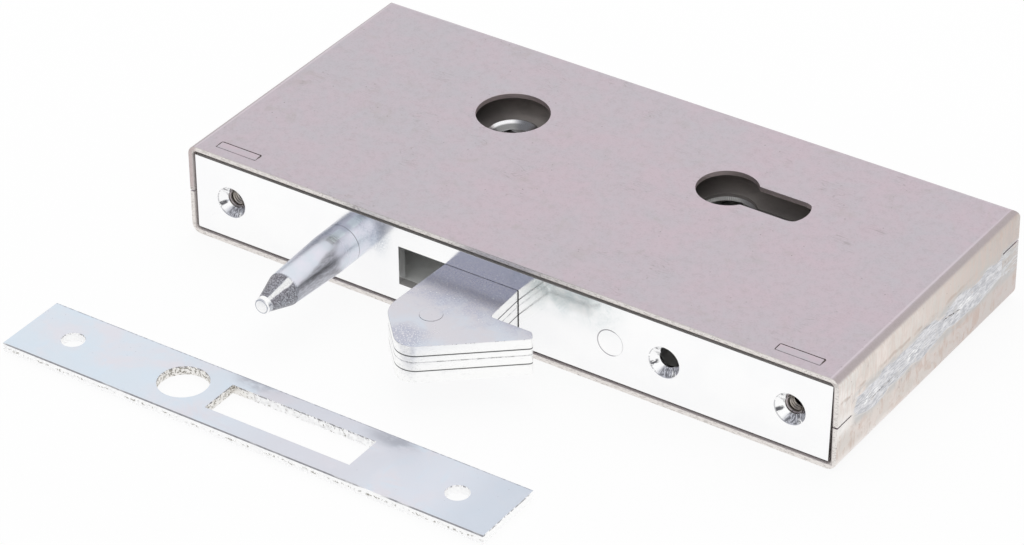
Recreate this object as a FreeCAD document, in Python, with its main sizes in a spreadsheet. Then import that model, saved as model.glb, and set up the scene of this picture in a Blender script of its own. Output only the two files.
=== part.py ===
import FreeCAD, Part
import math
import os
import Sketcher

Vector = FreeCAD.Vector
document = FreeCAD.newDocument("SlidingGateHookLock")

# Driving dimensions in millimetres and degrees.
# Places across the lock are measured from the middle of the case's length,
# places in depth from the plane of the case's open front, heights from its underside.
dimensions = {
    # welded sheet case
    "sheet": 1.5,
    "bendRadius": 3,
    "seamDrop": 0.3,
    "seamGap": 0.4,
    "cornerSlit": 0.4,
    "flangeTabLength": 10,
    "flangeTabHeight": 5,
    "weldStart": 7.4,
    "weldWidth": 5,
    "weldProud": 0.25,
    "backRoom": 4.5,
    "spindleHoleRadius": 10.75,
    "profileRoom": 0.5,
    "profileSlotRoom": 0.8,
    "profileReachRoom": 1,
    # brackets behind the forend
    "bracketWidth": 22,
    "bracketThickness": 3,
    "bracketTab": 13.6,
    "bracketTapRadius": 2.1,
    "tabClearance": 0.1,
    # forend
    "forendLength": 206,
    "forendHeight": 24,
    "forendThickness": 3,
    "forendRecess": 0.5,
    "forendShift": -0.25,
    "forendEndGap": 1.5,
    "forendGapBelow": 0.6,
    "forendGapAbove": 1.4,
    "endScrewInset": 11.5,
    "screwHoleRadius": 2.65,
    "screwSinkRadius": 4.85,
    "cylinderScrewOffset": 19.1,
    "hookSlotGap": 0.4,
    "hookSlotSpare": 3.6,
    "hookSlotSide": 0.7,
    "slotNick": 0.7,
    "rivetPlace": 35.4,
    "rivetHeadRadius": 4.05,
    "rivetRadius": 3,
    "rivetDepth": 11,
    # guide pin
    "pinPlace": -53.2,
    "pinRadius": 6,
    "pinStraight": 6,
    "pinShoulder": 27,
    "pinShoulderRadius": 5,
    "pinShoulderRound": 1.2,
    "pinNeck": 35.2,
    "pinTip": 37,
    "pinTipRadius": 2.5,
    "pinTipRound": 0.5,
    "pinShankRadius": 4,
    "pinShankDepth": 11,
    # lock body inside the case
    "plate": 1.5,
    "blockWidth": 11,
    "blockDepth": 9,
    "blockRoom": 3.8,
    "bossRoom": 4.5,
    "slideRoom": 0.7,
    "postRadius": 2.5,
    "postInset": 3.5,
    "tenonRadius": 1.5,
    "tenonClearance": 0.05,
    "coverScrewRadius": 1.2,
    "coverScrewLength": 8,
    "coverScrewSpare": 1,
    "coverScrewHeadRadius": 2.75,
    "coverScrewHeadHeight": 1.8,
    "coverScrewSlot": 0.7,
    "coverHoleRadius": 1.7,
    # profile of the cylinder that the lock takes
    "cylinderPlace": 33.3,
    "cylinderDepth": 63.8,
    "profileRadius": 8.5,
    "profileSlot": 10,
    "profileReach": 24.5,
    "profileEnd": 8.1,
    # hook
    "pivotPlace": -6,
    "pivotDepth": 45,
    "pivotPinRadius": 4,
    "runningClearance": 0.05,
    "hookGap": 0.35,
    "hookLayerBottom": 3.9,
    "hookLayerLow": 2.8,
    "hookLayerHigh": 2,
    "hookLayerTop": 3.2,
    "shankLeftReach": 12.4,
    "shankRightReach": 11.7,
    "shankSpread": 0.8,
    "hookReach": 40,
    "hookThroat": 13.9,
    "noseReach": 28,
    "noseDepth": 16.45,
    "noseCorner": 2.2,
    "noseRound": 1.1,
    "throatCorner": 1,
    "heelDepth": 25.5,
    "heelSpread": 1.2,
    "heelRound": 9,
    "tipRound": 6,
    "bossRadius": 13,
    "hookRivetRadius": 2.5,
    "hookRivetHead": 3.2,
    "hookRivetOffset": 1.4,
    "hookRivetDepth": -21.8,
    "hookRivetInner": 14,
    "rivetClearance": 0.03,
    # swing of the hook and what it carries
    "hookSwing": 16,
    "tailBeyond": 4,
    "tailWidth": 12,
    "lugRadius": 3,
    "lugWidth": 4.4,
    "lugRoom": 1.4,
    # follower
    "spindlePitch": 71.9,
    "spindleOffset": 0.5,
    "followerHubRadius": 9,
    "followerCollarRadius": 8,
    "followerProud": 0.2,
    "followerRecessRadius": 7,
    "followerRecessDepth": 2.2,
    "squareHole": 8.1,
    "armOverreach": 2.6,
    "armTipLength": 3,
    "armTipWidth": 4,
    "followerArmWidth": 6,
    "contactGap": 0.3,
    # slide
    "camReach": 11.7,
    "slideGap": 0.25,
    "slideLeftLand": 10.1,
    "slideEndLand": 4.6,
    "slideToothWidth": 6,
    "cornerRound": 1,
    "camNotchWidth": 12,
    "camNotchDepth": 6.5,
    "drivePinInset": 4.16,
    "drivePinRadius": 2.5,
    "drivePinClearance": 0.1,
    "guidePinRadius": 2,
    "guidePinBehind": 7.64,
    "guidePinOffset": 6.9,
    "guidePinInset": 5,
    "guideLand": 3.5,
    "stumpRadius": 1.25,
    "stumpOffset": 19.3,
    "stumpBehind": 2.24,
    # tumbler
    "tumblerPivotOffset": 20.7,
    "tumblerPivotBehind": 2.4,
    "tumblerLead": 0.7,
    "tumblerNose": 5,
    "tumblerWidth": 4.3,
    "tumblerThickness": 3,
    "tumblerRise": 5.4,
    "tumblerBelly": 1.5,
    "gateSpare": 0.45,
    "gateRamp": 5,
    "tumblerBossRadius": 4,
    "tumblerPinRadius": 2,
    "tumblerShoulderRadius": 3.2,
    # springs
    "springRadius": 1.9,
    "springWire": 0.3,
    "springTurns": 19,
    "springPostInset": 6.5,
    "springPostRadius": 2,
    "springLeg": 4,
    "springLegShift": 0.1,
    "tumblerSpringOffset": 10,
    "tumblerSpringRadius": 1.7,
    "tumblerSpringTurns": 4,
    # clearance between pieces that move
    "restGap": 0.3,
    # strike plate on the floor in front
    "strikeLeft": -112.3,
    "strikeLength": 158.8,
    "strikeWidth": 23.4,
    "strikeThickness": 2.8,
    "strikeFront": -76.7,
    "strikeHoleInset": 15.2,
    "strikeHolePitch": 127.7,
    "strikeHoleRadius": 3.4,
    "strikeCentreOffset": 0.7,
    "strikePinInset": 52.7,
    "strikePinRoom": 1.3,
    "strikeSlotInset": 64.7,
    "strikeSlotLength": 47.5,
    "strikeSlotRoom": 0.4,
}

# A cut that opens a side runs this far past it.
cutSpare = 1


# A size that carries its expression for the sheet together with its value.
class Size:
    def __init__(self, text, value):
        self.text = text
        self.value = value

    def __add__(self, other):
        return combine(self, other, "+", lambda a, b: a + b)

    def __radd__(self, other):
        return combine(other, self, "+", lambda a, b: a + b)

    def __sub__(self, other):
        return combine(self, other, "-", lambda a, b: a - b)

    def __rsub__(self, other):
        return combine(other, self, "-", lambda a, b: a - b)

    def __mul__(self, other):
        return combine(self, other, "*", lambda a, b: a * b)

    def __rmul__(self, other):
        return combine(other, self, "*", lambda a, b: a * b)

    def __truediv__(self, other):
        return combine(self, other, "/", lambda a, b: a / b)

    def squared(self):
        return self * self

    def __neg__(self):
        return combine(0, self, "-", lambda a, b: a - b)


def asSize(thing):
    if isinstance(thing, Size):
        return thing
    return Size(repr(thing), float(thing))


def combine(left, right, sign, work):
    left = asSize(left)
    right = asSize(right)
    text = "(" + left.text + " " + sign + " " + right.text + ")"
    return Size(text, work(left.value, right.value))


def sine(angle):
    angle = asSize(angle)
    return Size("sin(" + angle.text + ")", math.sin(math.radians(angle.value)))


def cosine(angle):
    angle = asSize(angle)
    return Size("cos(" + angle.text + ")", math.cos(math.radians(angle.value)))


def arcTangent(slope):
    return Size("(atan(" + slope.text + ") / 1deg)", math.degrees(math.atan(slope.value)))


def root(square):
    return Size("sqrt(" + square.text + ")", math.sqrt(square.value))


# The sheet holds each driving dimension under its own name.
sheet = document.addObject("Spreadsheet::Sheet", "Dims")
for row, (alias, number) in enumerate(dimensions.items(), start=1):
    sheet.set("A%d" % row, alias)
    sheet.set("B%d" % row, str(number))
    sheet.setAlias("B%d" % row, alias)
document.recompute()


class Named:
    pass


d = Named()
for alias in dimensions:
    setattr(d, alias, Size("Dims." + alias, float(sheet.get(alias))))

nodes = []


# Building blocks
def bind(thing, path, amount):
    thing.setExpression(path, asSize(amount).text)


def newBody(name):
    body = document.addObject("PartDesign::Body", name)
    body.Label = name
    nodes.append(body)
    return body


def sketch(body, plane, at, turn=0):
    made = body.newObject("Sketcher::SketchObject", body.Name + "Sketch")
    base = [feature for feature in body.Origin.OriginFeatures if feature.Role == plane][0]
    made.AttachmentSupport = (base, [""])
    made.MapMode = "FlatFace"
    for axis, amount in zip("xyz", at):
        bind(made, ".AttachmentOffset.Base." + axis, amount)
    bind(made, ".AttachmentOffset.Rotation.Angle", turn)
    return made


# A flat sketch at a height, in places across and in depth from the case's front.
def levelSketch(body, height, across=0, depth=0, turn=0):
    return sketch(body, "XY_Plane", (across, depth - caseDepth / 2, height), turn)


# An upright sketch facing the front, at a depth from the case's front.
def frontSketch(body, depth):
    return sketch(body, "XZ_Plane", (0, 0, caseDepth / 2 - depth))


def pin(made, index, corner, x, y):
    step = made.addConstraint(Sketcher.Constraint("DistanceX", -1, 1, index, corner, asSize(x).value))
    bind(made, "Constraints[%d]" % step, x)
    step = made.addConstraint(Sketcher.Constraint("DistanceY", -1, 1, index, corner, asSize(y).value))
    bind(made, "Constraints[%d]" % step, y)


# A closed outline. A corner is (x, y), or (x, y, radius) where an arc that
# bulges outwards leads to the next corner of an outline drawn anticlockwise.
def outline(made, corners):
    first = made.GeometryCount
    spots = [Vector(asSize(c[0]).value, asSize(c[1]).value, 0) for c in corners]
    for index, corner in enumerate(corners):
        start = spots[index]
        end = spots[(index + 1) % len(spots)]
        if len(corner) == 2:
            made.addGeometry(Part.LineSegment(start, end), False)
            continue
        radius = asSize(corner[2]).value
        along = (end - start) * 0.5
        rise = math.sqrt(radius ** 2 - along.Length ** 2)
        across = Vector(-along.y, along.x, 0).normalize()
        centre = start + along + across * rise
        begin = math.atan2(start.y - centre.y, start.x - centre.x)
        finish = math.atan2(end.y - centre.y, end.x - centre.x)
        ring = Part.Circle(centre, Vector(0, 0, 1), radius)
        made.addGeometry(Part.ArcOfCircle(ring, begin, finish), False)
    for index, corner in enumerate(corners):
        following = first + (index + 1) % len(corners)
        made.addConstraint(Sketcher.Constraint("Coincident", first + index, 2, following, 1))
        pin(made, first + index, 1, corner[0], corner[1])
        if len(corner) == 3:
            step = made.addConstraint(Sketcher.Constraint("Radius", first + index, asSize(corner[2]).value))
            bind(made, "Constraints[%d]" % step, corner[2])
    return made


def rectangle(made, left, right, low, high):
    return outline(made, [(left, low), (right, low), (right, high), (left, high)])


def circle(made, x, y, radius):
    ring = Part.Circle(Vector(asSize(x).value, asSize(y).value, 0), Vector(0, 0, 1), asSize(radius).value)
    index = made.addGeometry(ring, False)
    pin(made, index, 3, x, y)
    step = made.addConstraint(Sketcher.Constraint("Radius", index, asSize(radius).value))
    bind(made, "Constraints[%d]" % step, radius)
    return made


def pad(body, profile, length):
    made = body.newObject("PartDesign::Pad", body.Name + "Pad")
    made.Profile = profile
    bind(made, "Length", length)
    return made


# A cut goes the way the sketch faces, as a pad does.
def cut(body, profile, length):
    made = body.newObject("PartDesign::Pocket", body.Name + "Cut")
    made.Profile = profile
    made.Reversed = True
    bind(made, "Length", length)
    return made


def turned(body, profile):
    made = body.newObject("PartDesign::Revolution", body.Name + "Turned")
    made.Profile = profile
    made.ReferenceAxis = (profile, ["V_Axis"])
    made.Angle = 360
    return made


def edgesWhere(feature, test):
    document.recompute()
    return ["Edge%d" % (i + 1) for i, edge in enumerate(feature.Shape.Edges) if test(edge)]


def near(first, second):
    return abs(first - second) < 0.01


def rounded(body, feature, test, radius):
    made = body.newObject("PartDesign::Fillet", body.Name + "Round")
    made.Base = (feature, edgesWhere(feature, test))
    bind(made, "Radius", radius)
    return made


def chamfered(body, feature, test, amount):
    made = body.newObject("PartDesign::Chamfer", body.Name + "Chamfer")
    made.Base = (feature, edgesWhere(feature, test))
    bind(made, "Size", amount)
    return made


# Upright edges over the named places, given across and in depth.
def uprights(places, across=0, depth=0):
    spots = [(asSize(x + across).value, asSize(y + depth - caseDepth / 2).value) for x, y in places]

    def test(edge):
        ends = edge.Vertexes
        if len(ends) < 2 or not near(ends[0].X, ends[1].X) or not near(ends[0].Y, ends[1].Y):
            return False
        return any(near(ends[0].X, x) and near(ends[0].Y, y) for x, y in spots)

    return test


# Round edges of one radius whose centre lies in the given level or depth plane.
def rings(radius, height=None, depth=None, middle=None):
    def test(edge):
        if not isinstance(edge.Curve, Part.Circle) or not near(edge.Curve.Radius, asSize(radius).value):
            return False
        centre = edge.Curve.Center
        if height is not None and not near(centre.z, asSize(height).value):
            return False
        if middle is not None and not near(centre.x, asSize(middle).value):
            return False
        return depth is None or near(centre.y, asSize(depth - caseDepth / 2).value)

    return test


# Heights that several pieces share, worked out from the forend and the hook's layers
middleHeight = d.sheet + d.forendGapBelow + d.forendHeight / 2
caseHeight = middleHeight + d.forendHeight / 2 + d.forendGapAbove + d.sheet
seamHeight = middleHeight - d.seamDrop
seamLow = seamHeight - d.seamGap / 2
seamHigh = seamHeight + d.seamGap / 2
forendBottom = middleHeight - d.forendHeight / 2
hookHeight = d.hookLayerBottom + d.hookLayerLow + d.hookLayerHigh + d.hookLayerTop
hookBottom = middleHeight - hookHeight / 2
innerLayersBottom = hookBottom + d.hookLayerBottom
innerLayersTop = innerLayersBottom + d.hookLayerLow + d.hookLayerHigh
bodyInside = hookHeight + 2 * d.hookGap
floorHeight = middleHeight - bodyInside / 2
ceilingHeight = middleHeight + bodyInside / 2
coverTop = ceilingHeight + d.plate
trayBottom = floorHeight - d.plate
slideTop = ceilingHeight - d.restGap
slideBottom = innerLayersTop + d.slideGap
tumblerBottom = floorHeight + d.tumblerRise

# Depths from the case's open front
forendBack = d.forendRecess + d.forendThickness
slideFront = d.cylinderDepth + d.camReach
drivePinDepth = slideFront + d.drivePinInset
guidePinDepth = drivePinDepth + d.guidePinBehind
slideRelief = guidePinDepth - d.guideLand
slideBack = guidePinDepth + d.guideLand
bodyBack = slideBack + d.slideRoom + d.plate
caseDepth = bodyBack + d.backRoom + d.sheet
stumpDepth = drivePinDepth + d.stumpBehind
tumblerFront = stumpDepth - d.tumblerLead
tumblerBack = tumblerFront + d.tumblerWidth
followerDepth = d.cylinderDepth + d.spindleOffset

# Swing of the hook's tail and travel of the slide
tailReach = (drivePinDepth - d.pivotDepth) / cosine(d.hookSwing / 2)
tailLean = 90 + d.hookSwing / 2
slideTravel = 2 * tailReach * sine(d.hookSwing / 2)
print("slide travel", round(slideTravel.value, 4), "for a swing of", d.hookSwing.value)

# Places across, from the middle of the case
halfLength = d.forendLength / 2 + d.forendEndGap + d.sheet
innerHalf = halfLength - d.sheet
leftScrew = d.forendShift - d.forendLength / 2 + d.endScrewInset
rightScrew = d.forendShift + d.forendLength / 2 - d.endScrewInset
shankLeft = d.pivotPlace - d.shankLeftReach
shankRight = d.pivotPlace + d.shankRightReach
followerPlace = d.cylinderPlace - d.spindlePitch
drivePinPlace = d.pivotPlace + tailReach * cosine(tailLean)
slideLeft = drivePinPlace - d.slideLeftLand
camNotchRight = d.cylinderPlace - slideTravel / 2 + d.camNotchWidth / 2
slideRight = camNotchRight + d.slideToothWidth + d.slideEndLand
stumpPlace = d.cylinderPlace - d.stumpOffset
tumblerPivotPlace = d.cylinderPlace + d.tumblerPivotOffset
bodyLeft = d.pinPlace - d.blockWidth / 2 - d.blockRoom - d.plate
bodyRight = tumblerPivotPlace + d.tumblerBossRadius + d.bossRoom + d.plate
springPostPlace = bodyLeft + d.plate + d.springPostInset


# The line from the follower's axis to the hook's pivot sets how lug and arm meet.
centresAcross = d.pivotPlace - followerPlace
centresDeep = d.pivotDepth - followerDepth
centresApart = root(centresAcross.squared() + centresDeep.squared())
centresAngle = arcTangent(centresDeep / centresAcross)
lugReach = centresApart - d.followerHubRadius - d.lugRadius - d.lugRoom
lugAngle = 180 + centresAngle + d.hookSwing / 2
lugLift = lugReach * sine(d.hookSwing / 2)
lugNear = centresApart - lugReach * cosine(d.hookSwing / 2)
lugBearing = arcTangent(lugLift / lugNear)
armAngle = centresAngle - lugBearing
armReach = centresApart - lugReach + d.armOverreach
print("follower turns", round(2 * lugBearing.value, 4), "degrees")


# The profile cut-out for a cylinder: a round with a straight slot and a shallow round end.
def profileOutline(made, x, y, radius, slot, reach, end):
    half = slot / 2
    leave = root(radius * radius - half * half)
    sag = end - root(end * end - half * half)
    first = made.GeometryCount
    centre = Vector(x.value, y.value, 0)
    rise = math.asin(half.value / radius.value)
    ring = Part.Circle(centre, Vector(0, 0, 1), radius.value)
    made.addGeometry(Part.ArcOfCircle(ring, rise, 2 * math.pi - rise), False)
    corners = [(x + leave, y + half), (x + leave, y - half), (x + reach - sag, y - half),
               (x + reach - sag, y + half)]
    spots = [Vector(cx.value, cy.value, 0) for cx, cy in corners]
    made.addGeometry(Part.LineSegment(spots[1], spots[2]), False)
    farCentre = Vector((x + reach - end).value, y.value, 0)
    bow = math.asin(half.value / end.value)
    made.addGeometry(Part.ArcOfCircle(Part.Circle(farCentre, Vector(0, 0, 1), end.value), -bow, bow), False)
    made.addGeometry(Part.LineSegment(spots[3], spots[0]), False)
    for index in range(4):
        following = first + (index + 1) % 4
        made.addConstraint(Sketcher.Constraint("Coincident", first + index, 2, following, 1))
        pin(made, first + index, 1, corners[index][0], corners[index][1])
    for index, amount in ((first, radius), (first + 2, end)):
        step = made.addConstraint(Sketcher.Constraint("Radius", index, amount.value))
        bind(made, "Constraints[%d]" % step, amount)
    return made


def caseOpenings(body, height):
    spindle = circle(levelSketch(body, height), followerPlace, followerDepth, d.spindleHoleRadius)
    cut(body, spindle, d.sheet)
    profile = profileOutline(levelSketch(body, height), d.cylinderPlace, d.cylinderDepth,
                             d.profileRadius + d.profileRoom, d.profileSlot + d.profileSlotRoom,
                             d.profileReach + d.profileReachRoom, d.profileEnd + d.profileRoom)
    cut(body, profile, d.sheet)
    slots = levelSketch(body, height)
    for middle in (leftScrew, rightScrew):
        slotHalf = d.bracketTab / 2 + d.tabClearance
        rectangle(slots, middle - slotHalf, middle + slotHalf, forendBack - d.tabClearance,
                  forendBack + d.bracketThickness + d.tabClearance)
    cut(body, slots, d.sheet)


def bendEdges(height, outerFace):
    level = asSize(height).value
    across = asSize(outerFace[0]).value
    back = asSize(outerFace[1]).value

    def test(edge):
        ends = edge.Vertexes
        if len(ends) < 2 or not all(near(end.Z, level) for end in ends):
            return False
        onSide = all(near(abs(end.X), across) for end in ends) and not near(ends[0].Y, ends[1].Y)
        onBack = all(near(end.Y, back) for end in ends)
        return onSide or onBack

    return test


# One half of the case: a tray of folded sheet with walls at both ends and the back.
def shell(name, wallBottom, wallTop, panelBottom, hollowBottom, bendOuter, bendInner):
    body = newBody(name)
    wallHeight = wallTop - wallBottom
    plan = rectangle(levelSketch(body, wallBottom), -halfLength, halfLength, 0, caseDepth)
    block = pad(body, plan, wallHeight)
    rounded(body, block, bendEdges(bendOuter, (halfLength, caseDepth / 2)), d.bendRadius)
    hollow = rectangle(levelSketch(body, hollowBottom), -innerHalf, innerHalf, -cutSpare, caseDepth - d.sheet)
    opened = cut(body, hollow, wallHeight - d.sheet)
    rounded(body, opened, bendEdges(bendInner, (innerHalf, caseDepth / 2 - d.sheet)), d.bendRadius - d.sheet)
    caseOpenings(body, panelBottom)
    return body


def cornerSlits(body, bottom, height):
    slits = levelSketch(body, bottom)
    for left, right in ((innerHalf - d.cornerSlit, innerHalf), (-innerHalf, d.cornerSlit - innerHalf)):
        rectangle(slits, left, right, caseDepth - d.sheet - cutSpare, caseDepth + cutSpare)
    cut(body, slits, height)


def lowerShell():
    body = shell("lower_shell", 0, seamLow, 0, d.sheet, 0, d.sheet)
    cornerSlits(body, d.bendRadius, seamLow - d.bendRadius)
    tabs = levelSketch(body, seamLow)
    rectangle(tabs, innerHalf, halfLength, caseDepth - d.flangeTabLength, caseDepth)
    pad(body, tabs, d.flangeTabHeight)
    tabs = levelSketch(body, seamLow)
    rectangle(tabs, -halfLength, -innerHalf, caseDepth - d.flangeTabLength, caseDepth)
    pad(body, tabs, d.flangeTabHeight)


def upperShell():
    body = shell("upper_shell", seamHigh, caseHeight, caseHeight - d.sheet, seamHigh,
                 caseHeight, caseHeight - d.sheet)
    cornerSlits(body, seamHigh, caseHeight - d.bendRadius - seamHigh)
    notchFront = caseDepth - d.flangeTabLength - d.seamGap
    notches = levelSketch(body, seamHigh)
    rectangle(notches, innerHalf, halfLength + cutSpare, notchFront, caseDepth + cutSpare)
    rectangle(notches, -halfLength - cutSpare, -innerHalf, notchFront, caseDepth + cutSpare)
    cut(body, notches, d.flangeTabHeight)


# Weld metal that fills the gap between the two shells. At the back it is dressed flush.
def seamFill(name, left, right, front, back):
    body = newBody(name)
    pad(body, rectangle(levelSketch(body, seamLow), left, right, front, back), d.seamGap)
    return body


# At both ends a low ground bead stands over the filled gap.
def seamBead(body, left, right, front, back):
    bead = rectangle(levelSketch(body, seamHeight - d.weldWidth / 2), left, right, front, back)
    pad(body, bead, d.weldWidth)


def seamWelds():
    sideEnd = caseDepth - d.flangeTabLength - d.seamGap
    rightWeld = seamFill("right_seam_weld", innerHalf, halfLength, d.weldStart, sideEnd)
    seamBead(rightWeld, halfLength, halfLength + d.weldProud, d.weldStart, sideEnd)
    leftWeld = seamFill("left_seam_weld", -halfLength, -innerHalf, d.weldStart, sideEnd)
    seamBead(leftWeld, -halfLength - d.weldProud, -halfLength, d.weldStart, sideEnd)
    backEnd = innerHalf - d.cornerSlit
    seamFill("back_seam_weld", -backEnd, backEnd, caseDepth - d.sheet, caseDepth)


# A bracket plate stands across the case and shows its tabs in both shells.
def bracket(name, middle):
    body = newBody(name)
    front = frontSketch(body, forendBack + d.bracketThickness)
    half = d.bracketWidth / 2
    tab = d.bracketTab / 2
    low = d.sheet
    high = caseHeight - d.sheet
    outline(front, [(middle - tab, 0), (middle + tab, 0), (middle + tab, low), (middle + half, low),
                    (middle + half, high), (middle + tab, high), (middle + tab, caseHeight),
                    (middle - tab, caseHeight), (middle - tab, high), (middle - half, high),
                    (middle - half, low), (middle - tab, low)])
    pad(body, front, d.bracketThickness)
    behind = frontSketch(body, forendBack + d.bracketThickness)
    hole = circle(behind, middle, middleHeight, d.bracketTapRadius)
    cut(body, hole, d.bracketThickness)


def forend():
    body = newBody("forend")
    left = d.forendShift - d.forendLength / 2
    right = d.forendShift + d.forendLength / 2
    strip = rectangle(frontSketch(body, forendBack), left, right, forendBottom, forendBottom + d.forendHeight)
    pad(body, strip, d.forendThickness)
    swungLeft = d.pivotPlace - d.shankLeftReach * cosine(d.hookSwing) - d.pivotDepth * sine(d.hookSwing)
    slotLeft = swungLeft - d.hookSlotSpare
    slotRight = shankRight + d.hookSlotSide
    slotLow = hookBottom - d.hookSlotGap
    slotHigh = hookBottom + hookHeight + d.hookSlotGap
    slot = frontSketch(body, forendBack)
    outline(slot, [(slotLeft, slotLow), (slotRight, slotLow), (slotRight, slotHigh),
                   (slotLeft + 2 * d.slotNick, slotHigh), (slotLeft + d.slotNick, slotHigh + d.slotNick),
                   (slotLeft, slotHigh + d.slotNick)])
    cut(body, slot, d.forendThickness)
    holes = frontSketch(body, forendBack)
    for middle in (leftScrew, rightScrew, d.cylinderPlace + d.cylinderScrewOffset):
        circle(holes, middle, middleHeight, d.screwHoleRadius)
    circle(holes, d.rivetPlace, middleHeight, d.rivetRadius + d.rivetClearance)
    circle(holes, d.pinPlace, middleHeight, d.pinShankRadius + d.tenonClearance)
    drilled = cut(body, holes, d.forendThickness)
    sunk = chamfered(body, drilled, rings(d.screwHoleRadius, depth=d.forendRecess),
                     d.screwSinkRadius - d.screwHoleRadius)
    chamfered(body, sunk, rings(d.rivetRadius + d.rivetClearance, depth=d.forendRecess),
              d.rivetHeadRadius - d.rivetRadius)


# Turned pieces that stand out of the forend: points are radius and depth from the front.
def frontTurned(name, across, profile):
    body = newBody(name)
    return body, turned(body, outline(levelSketch(body, middleHeight, across), profile))


def forendRivet():
    sink = d.rivetHeadRadius - d.rivetRadius
    frontTurned("forend_rivet", d.rivetPlace, [
        (0, d.forendRecess), (d.rivetHeadRadius, d.forendRecess), (d.rivetRadius, d.forendRecess + sink),
        (d.rivetRadius, d.rivetDepth), (0, d.rivetDepth)])


def guidePin():
    body, shape = frontTurned("guide_pin", d.pinPlace, [
        (0, -d.pinTip), (d.pinTipRadius, -d.pinTip), (d.pinTipRadius, -d.pinNeck),
        (d.pinShoulderRadius, -d.pinShoulder), (d.pinRadius, -d.pinStraight), (d.pinRadius, d.forendRecess),
        (d.pinShankRadius, d.forendRecess), (d.pinShankRadius, d.pinShankDepth), (0, d.pinShankDepth)])
    soft = rounded(body, shape, rings(d.pinTipRadius, depth=-d.pinTip), d.pinTipRound)
    rounded(body, soft, rings(d.pinShoulderRadius, depth=-d.pinShoulder), d.pinShoulderRound)


# Blocks between tray and cover take the guide pin's shank and the rivet.
def block(name, across, holeRadius):
    body = newBody(name)
    half = d.blockWidth / 2
    pad(body, rectangle(levelSketch(body, floorHeight), across - half, across + half, forendBack,
                        forendBack + d.blockDepth), bodyInside)
    hole = circle(frontSketch(body, forendBack + d.blockDepth), across, middleHeight, holeRadius)
    cut(body, hole, d.blockDepth)


postPlaces = [(x, y)
              for y in (forendBack + d.blockDepth + d.postInset, bodyBack - d.plate - d.postInset)
              for x in (bodyLeft + d.plate + d.postInset, bodyRight - d.plate - d.postInset)]


def platePiercings(body, bottom, throughRadius, pins):
    holes = levelSketch(body, bottom)
    for x, y in postPlaces:
        circle(holes, x, y, throughRadius)
    for x, y in pins:
        circle(holes, x, y, d.tenonRadius + d.tenonClearance)
    circle(holes, followerPlace, followerDepth, d.followerCollarRadius + d.runningClearance)
    cut(body, holes, d.plate)
    profile = profileOutline(levelSketch(body, bottom), d.cylinderPlace, d.cylinderDepth, d.profileRadius,
                             d.profileSlot, d.profileReach, d.profileEnd)
    cut(body, profile, d.plate)


pivotPlace = (d.pivotPlace, d.pivotDepth)
tumblerPivot = (tumblerPivotPlace, tumblerFront + d.tumblerPivotBehind)
springPost = (springPostPlace, drivePinDepth)
guidePlaces = [(drivePinPlace + d.guidePinOffset, guidePinDepth),
               (slideRight - d.guidePinInset, guidePinDepth)]


def lockTray():
    body = newBody("lock_tray")
    pad(body, rectangle(levelSketch(body, trayBottom), bodyLeft, bodyRight, forendBack, bodyBack),
        ceilingHeight - trayBottom)
    hollow = rectangle(levelSketch(body, floorHeight), bodyLeft + d.plate, bodyRight - d.plate,
                       forendBack - cutSpare, bodyBack - d.plate)
    cut(body, hollow, bodyInside)
    platePiercings(body, trayBottom, d.tenonRadius + d.tenonClearance, [pivotPlace, tumblerPivot, springPost])


def lockCover():
    body = newBody("lock_cover")
    pad(body, rectangle(levelSketch(body, ceilingHeight), bodyLeft, bodyRight, forendBack, bodyBack), d.plate)
    platePiercings(body, ceilingHeight, d.coverHoleRadius, [pivotPlace, springPost] + guidePlaces)


# A post or pin turned about its own upright axis: points are radius and height.
def standing(name, x, y, profile):
    body = newBody(name)
    upright = sketch(body, "XZ_Plane", (x, 0, caseDepth / 2 - y))
    turned(body, outline(upright, profile))
    return body


def group(name, bodies):
    made = document.addObject("Part::Compound", name)
    made.Label = name
    made.Links = bodies
    for body in bodies:
        nodes.remove(body)
    nodes.append(made)


def coverFixings():
    posts = []
    screws = []
    screwEnd = coverTop - d.coverScrewLength
    boreRadius = d.coverScrewRadius + d.tenonClearance
    for index, (x, y) in enumerate(postPlaces):
        posts.append(standing("cover_post_%d" % (index + 1), x, y, [
            (0, trayBottom), (d.tenonRadius, trayBottom), (d.tenonRadius, floorHeight),
            (d.postRadius, floorHeight), (d.postRadius, ceilingHeight), (boreRadius, ceilingHeight),
            (boreRadius, screwEnd - d.coverScrewSpare), (0, screwEnd - d.coverScrewSpare)]))
        screws.append(coverScrew("cover_screw_%d" % (index + 1), x, y, screwEnd))
    group("cover_posts", posts)
    group("cover_screws", screws)


def coverScrew(name, x, y, screwEnd):
    headTop = coverTop + d.coverScrewHeadHeight
    body = standing(name, x, y, [
        (0, screwEnd), (d.coverScrewRadius, screwEnd), (d.coverScrewRadius, coverTop),
        (d.coverScrewHeadRadius, coverTop), (d.coverScrewHeadRadius, headTop), (0, headTop)])
    slotEnd = d.coverScrewHeadRadius + cutSpare
    slot = levelSketch(body, headTop - d.coverScrewHeadHeight / 2, x, y)
    rectangle(slot, -slotEnd, slotEnd, -d.coverScrewSlot / 2, d.coverScrewSlot / 2)
    cut(body, slot, d.coverScrewHeadHeight)
    return body


def tenonPin(name, where, radius):
    standing(name, where[0], where[1], [
        (0, trayBottom), (d.tenonRadius, trayBottom), (d.tenonRadius, floorHeight), (radius, floorHeight),
        (radius, ceilingHeight), (d.tenonRadius, ceilingHeight), (d.tenonRadius, coverTop), (0, coverTop)])


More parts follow.
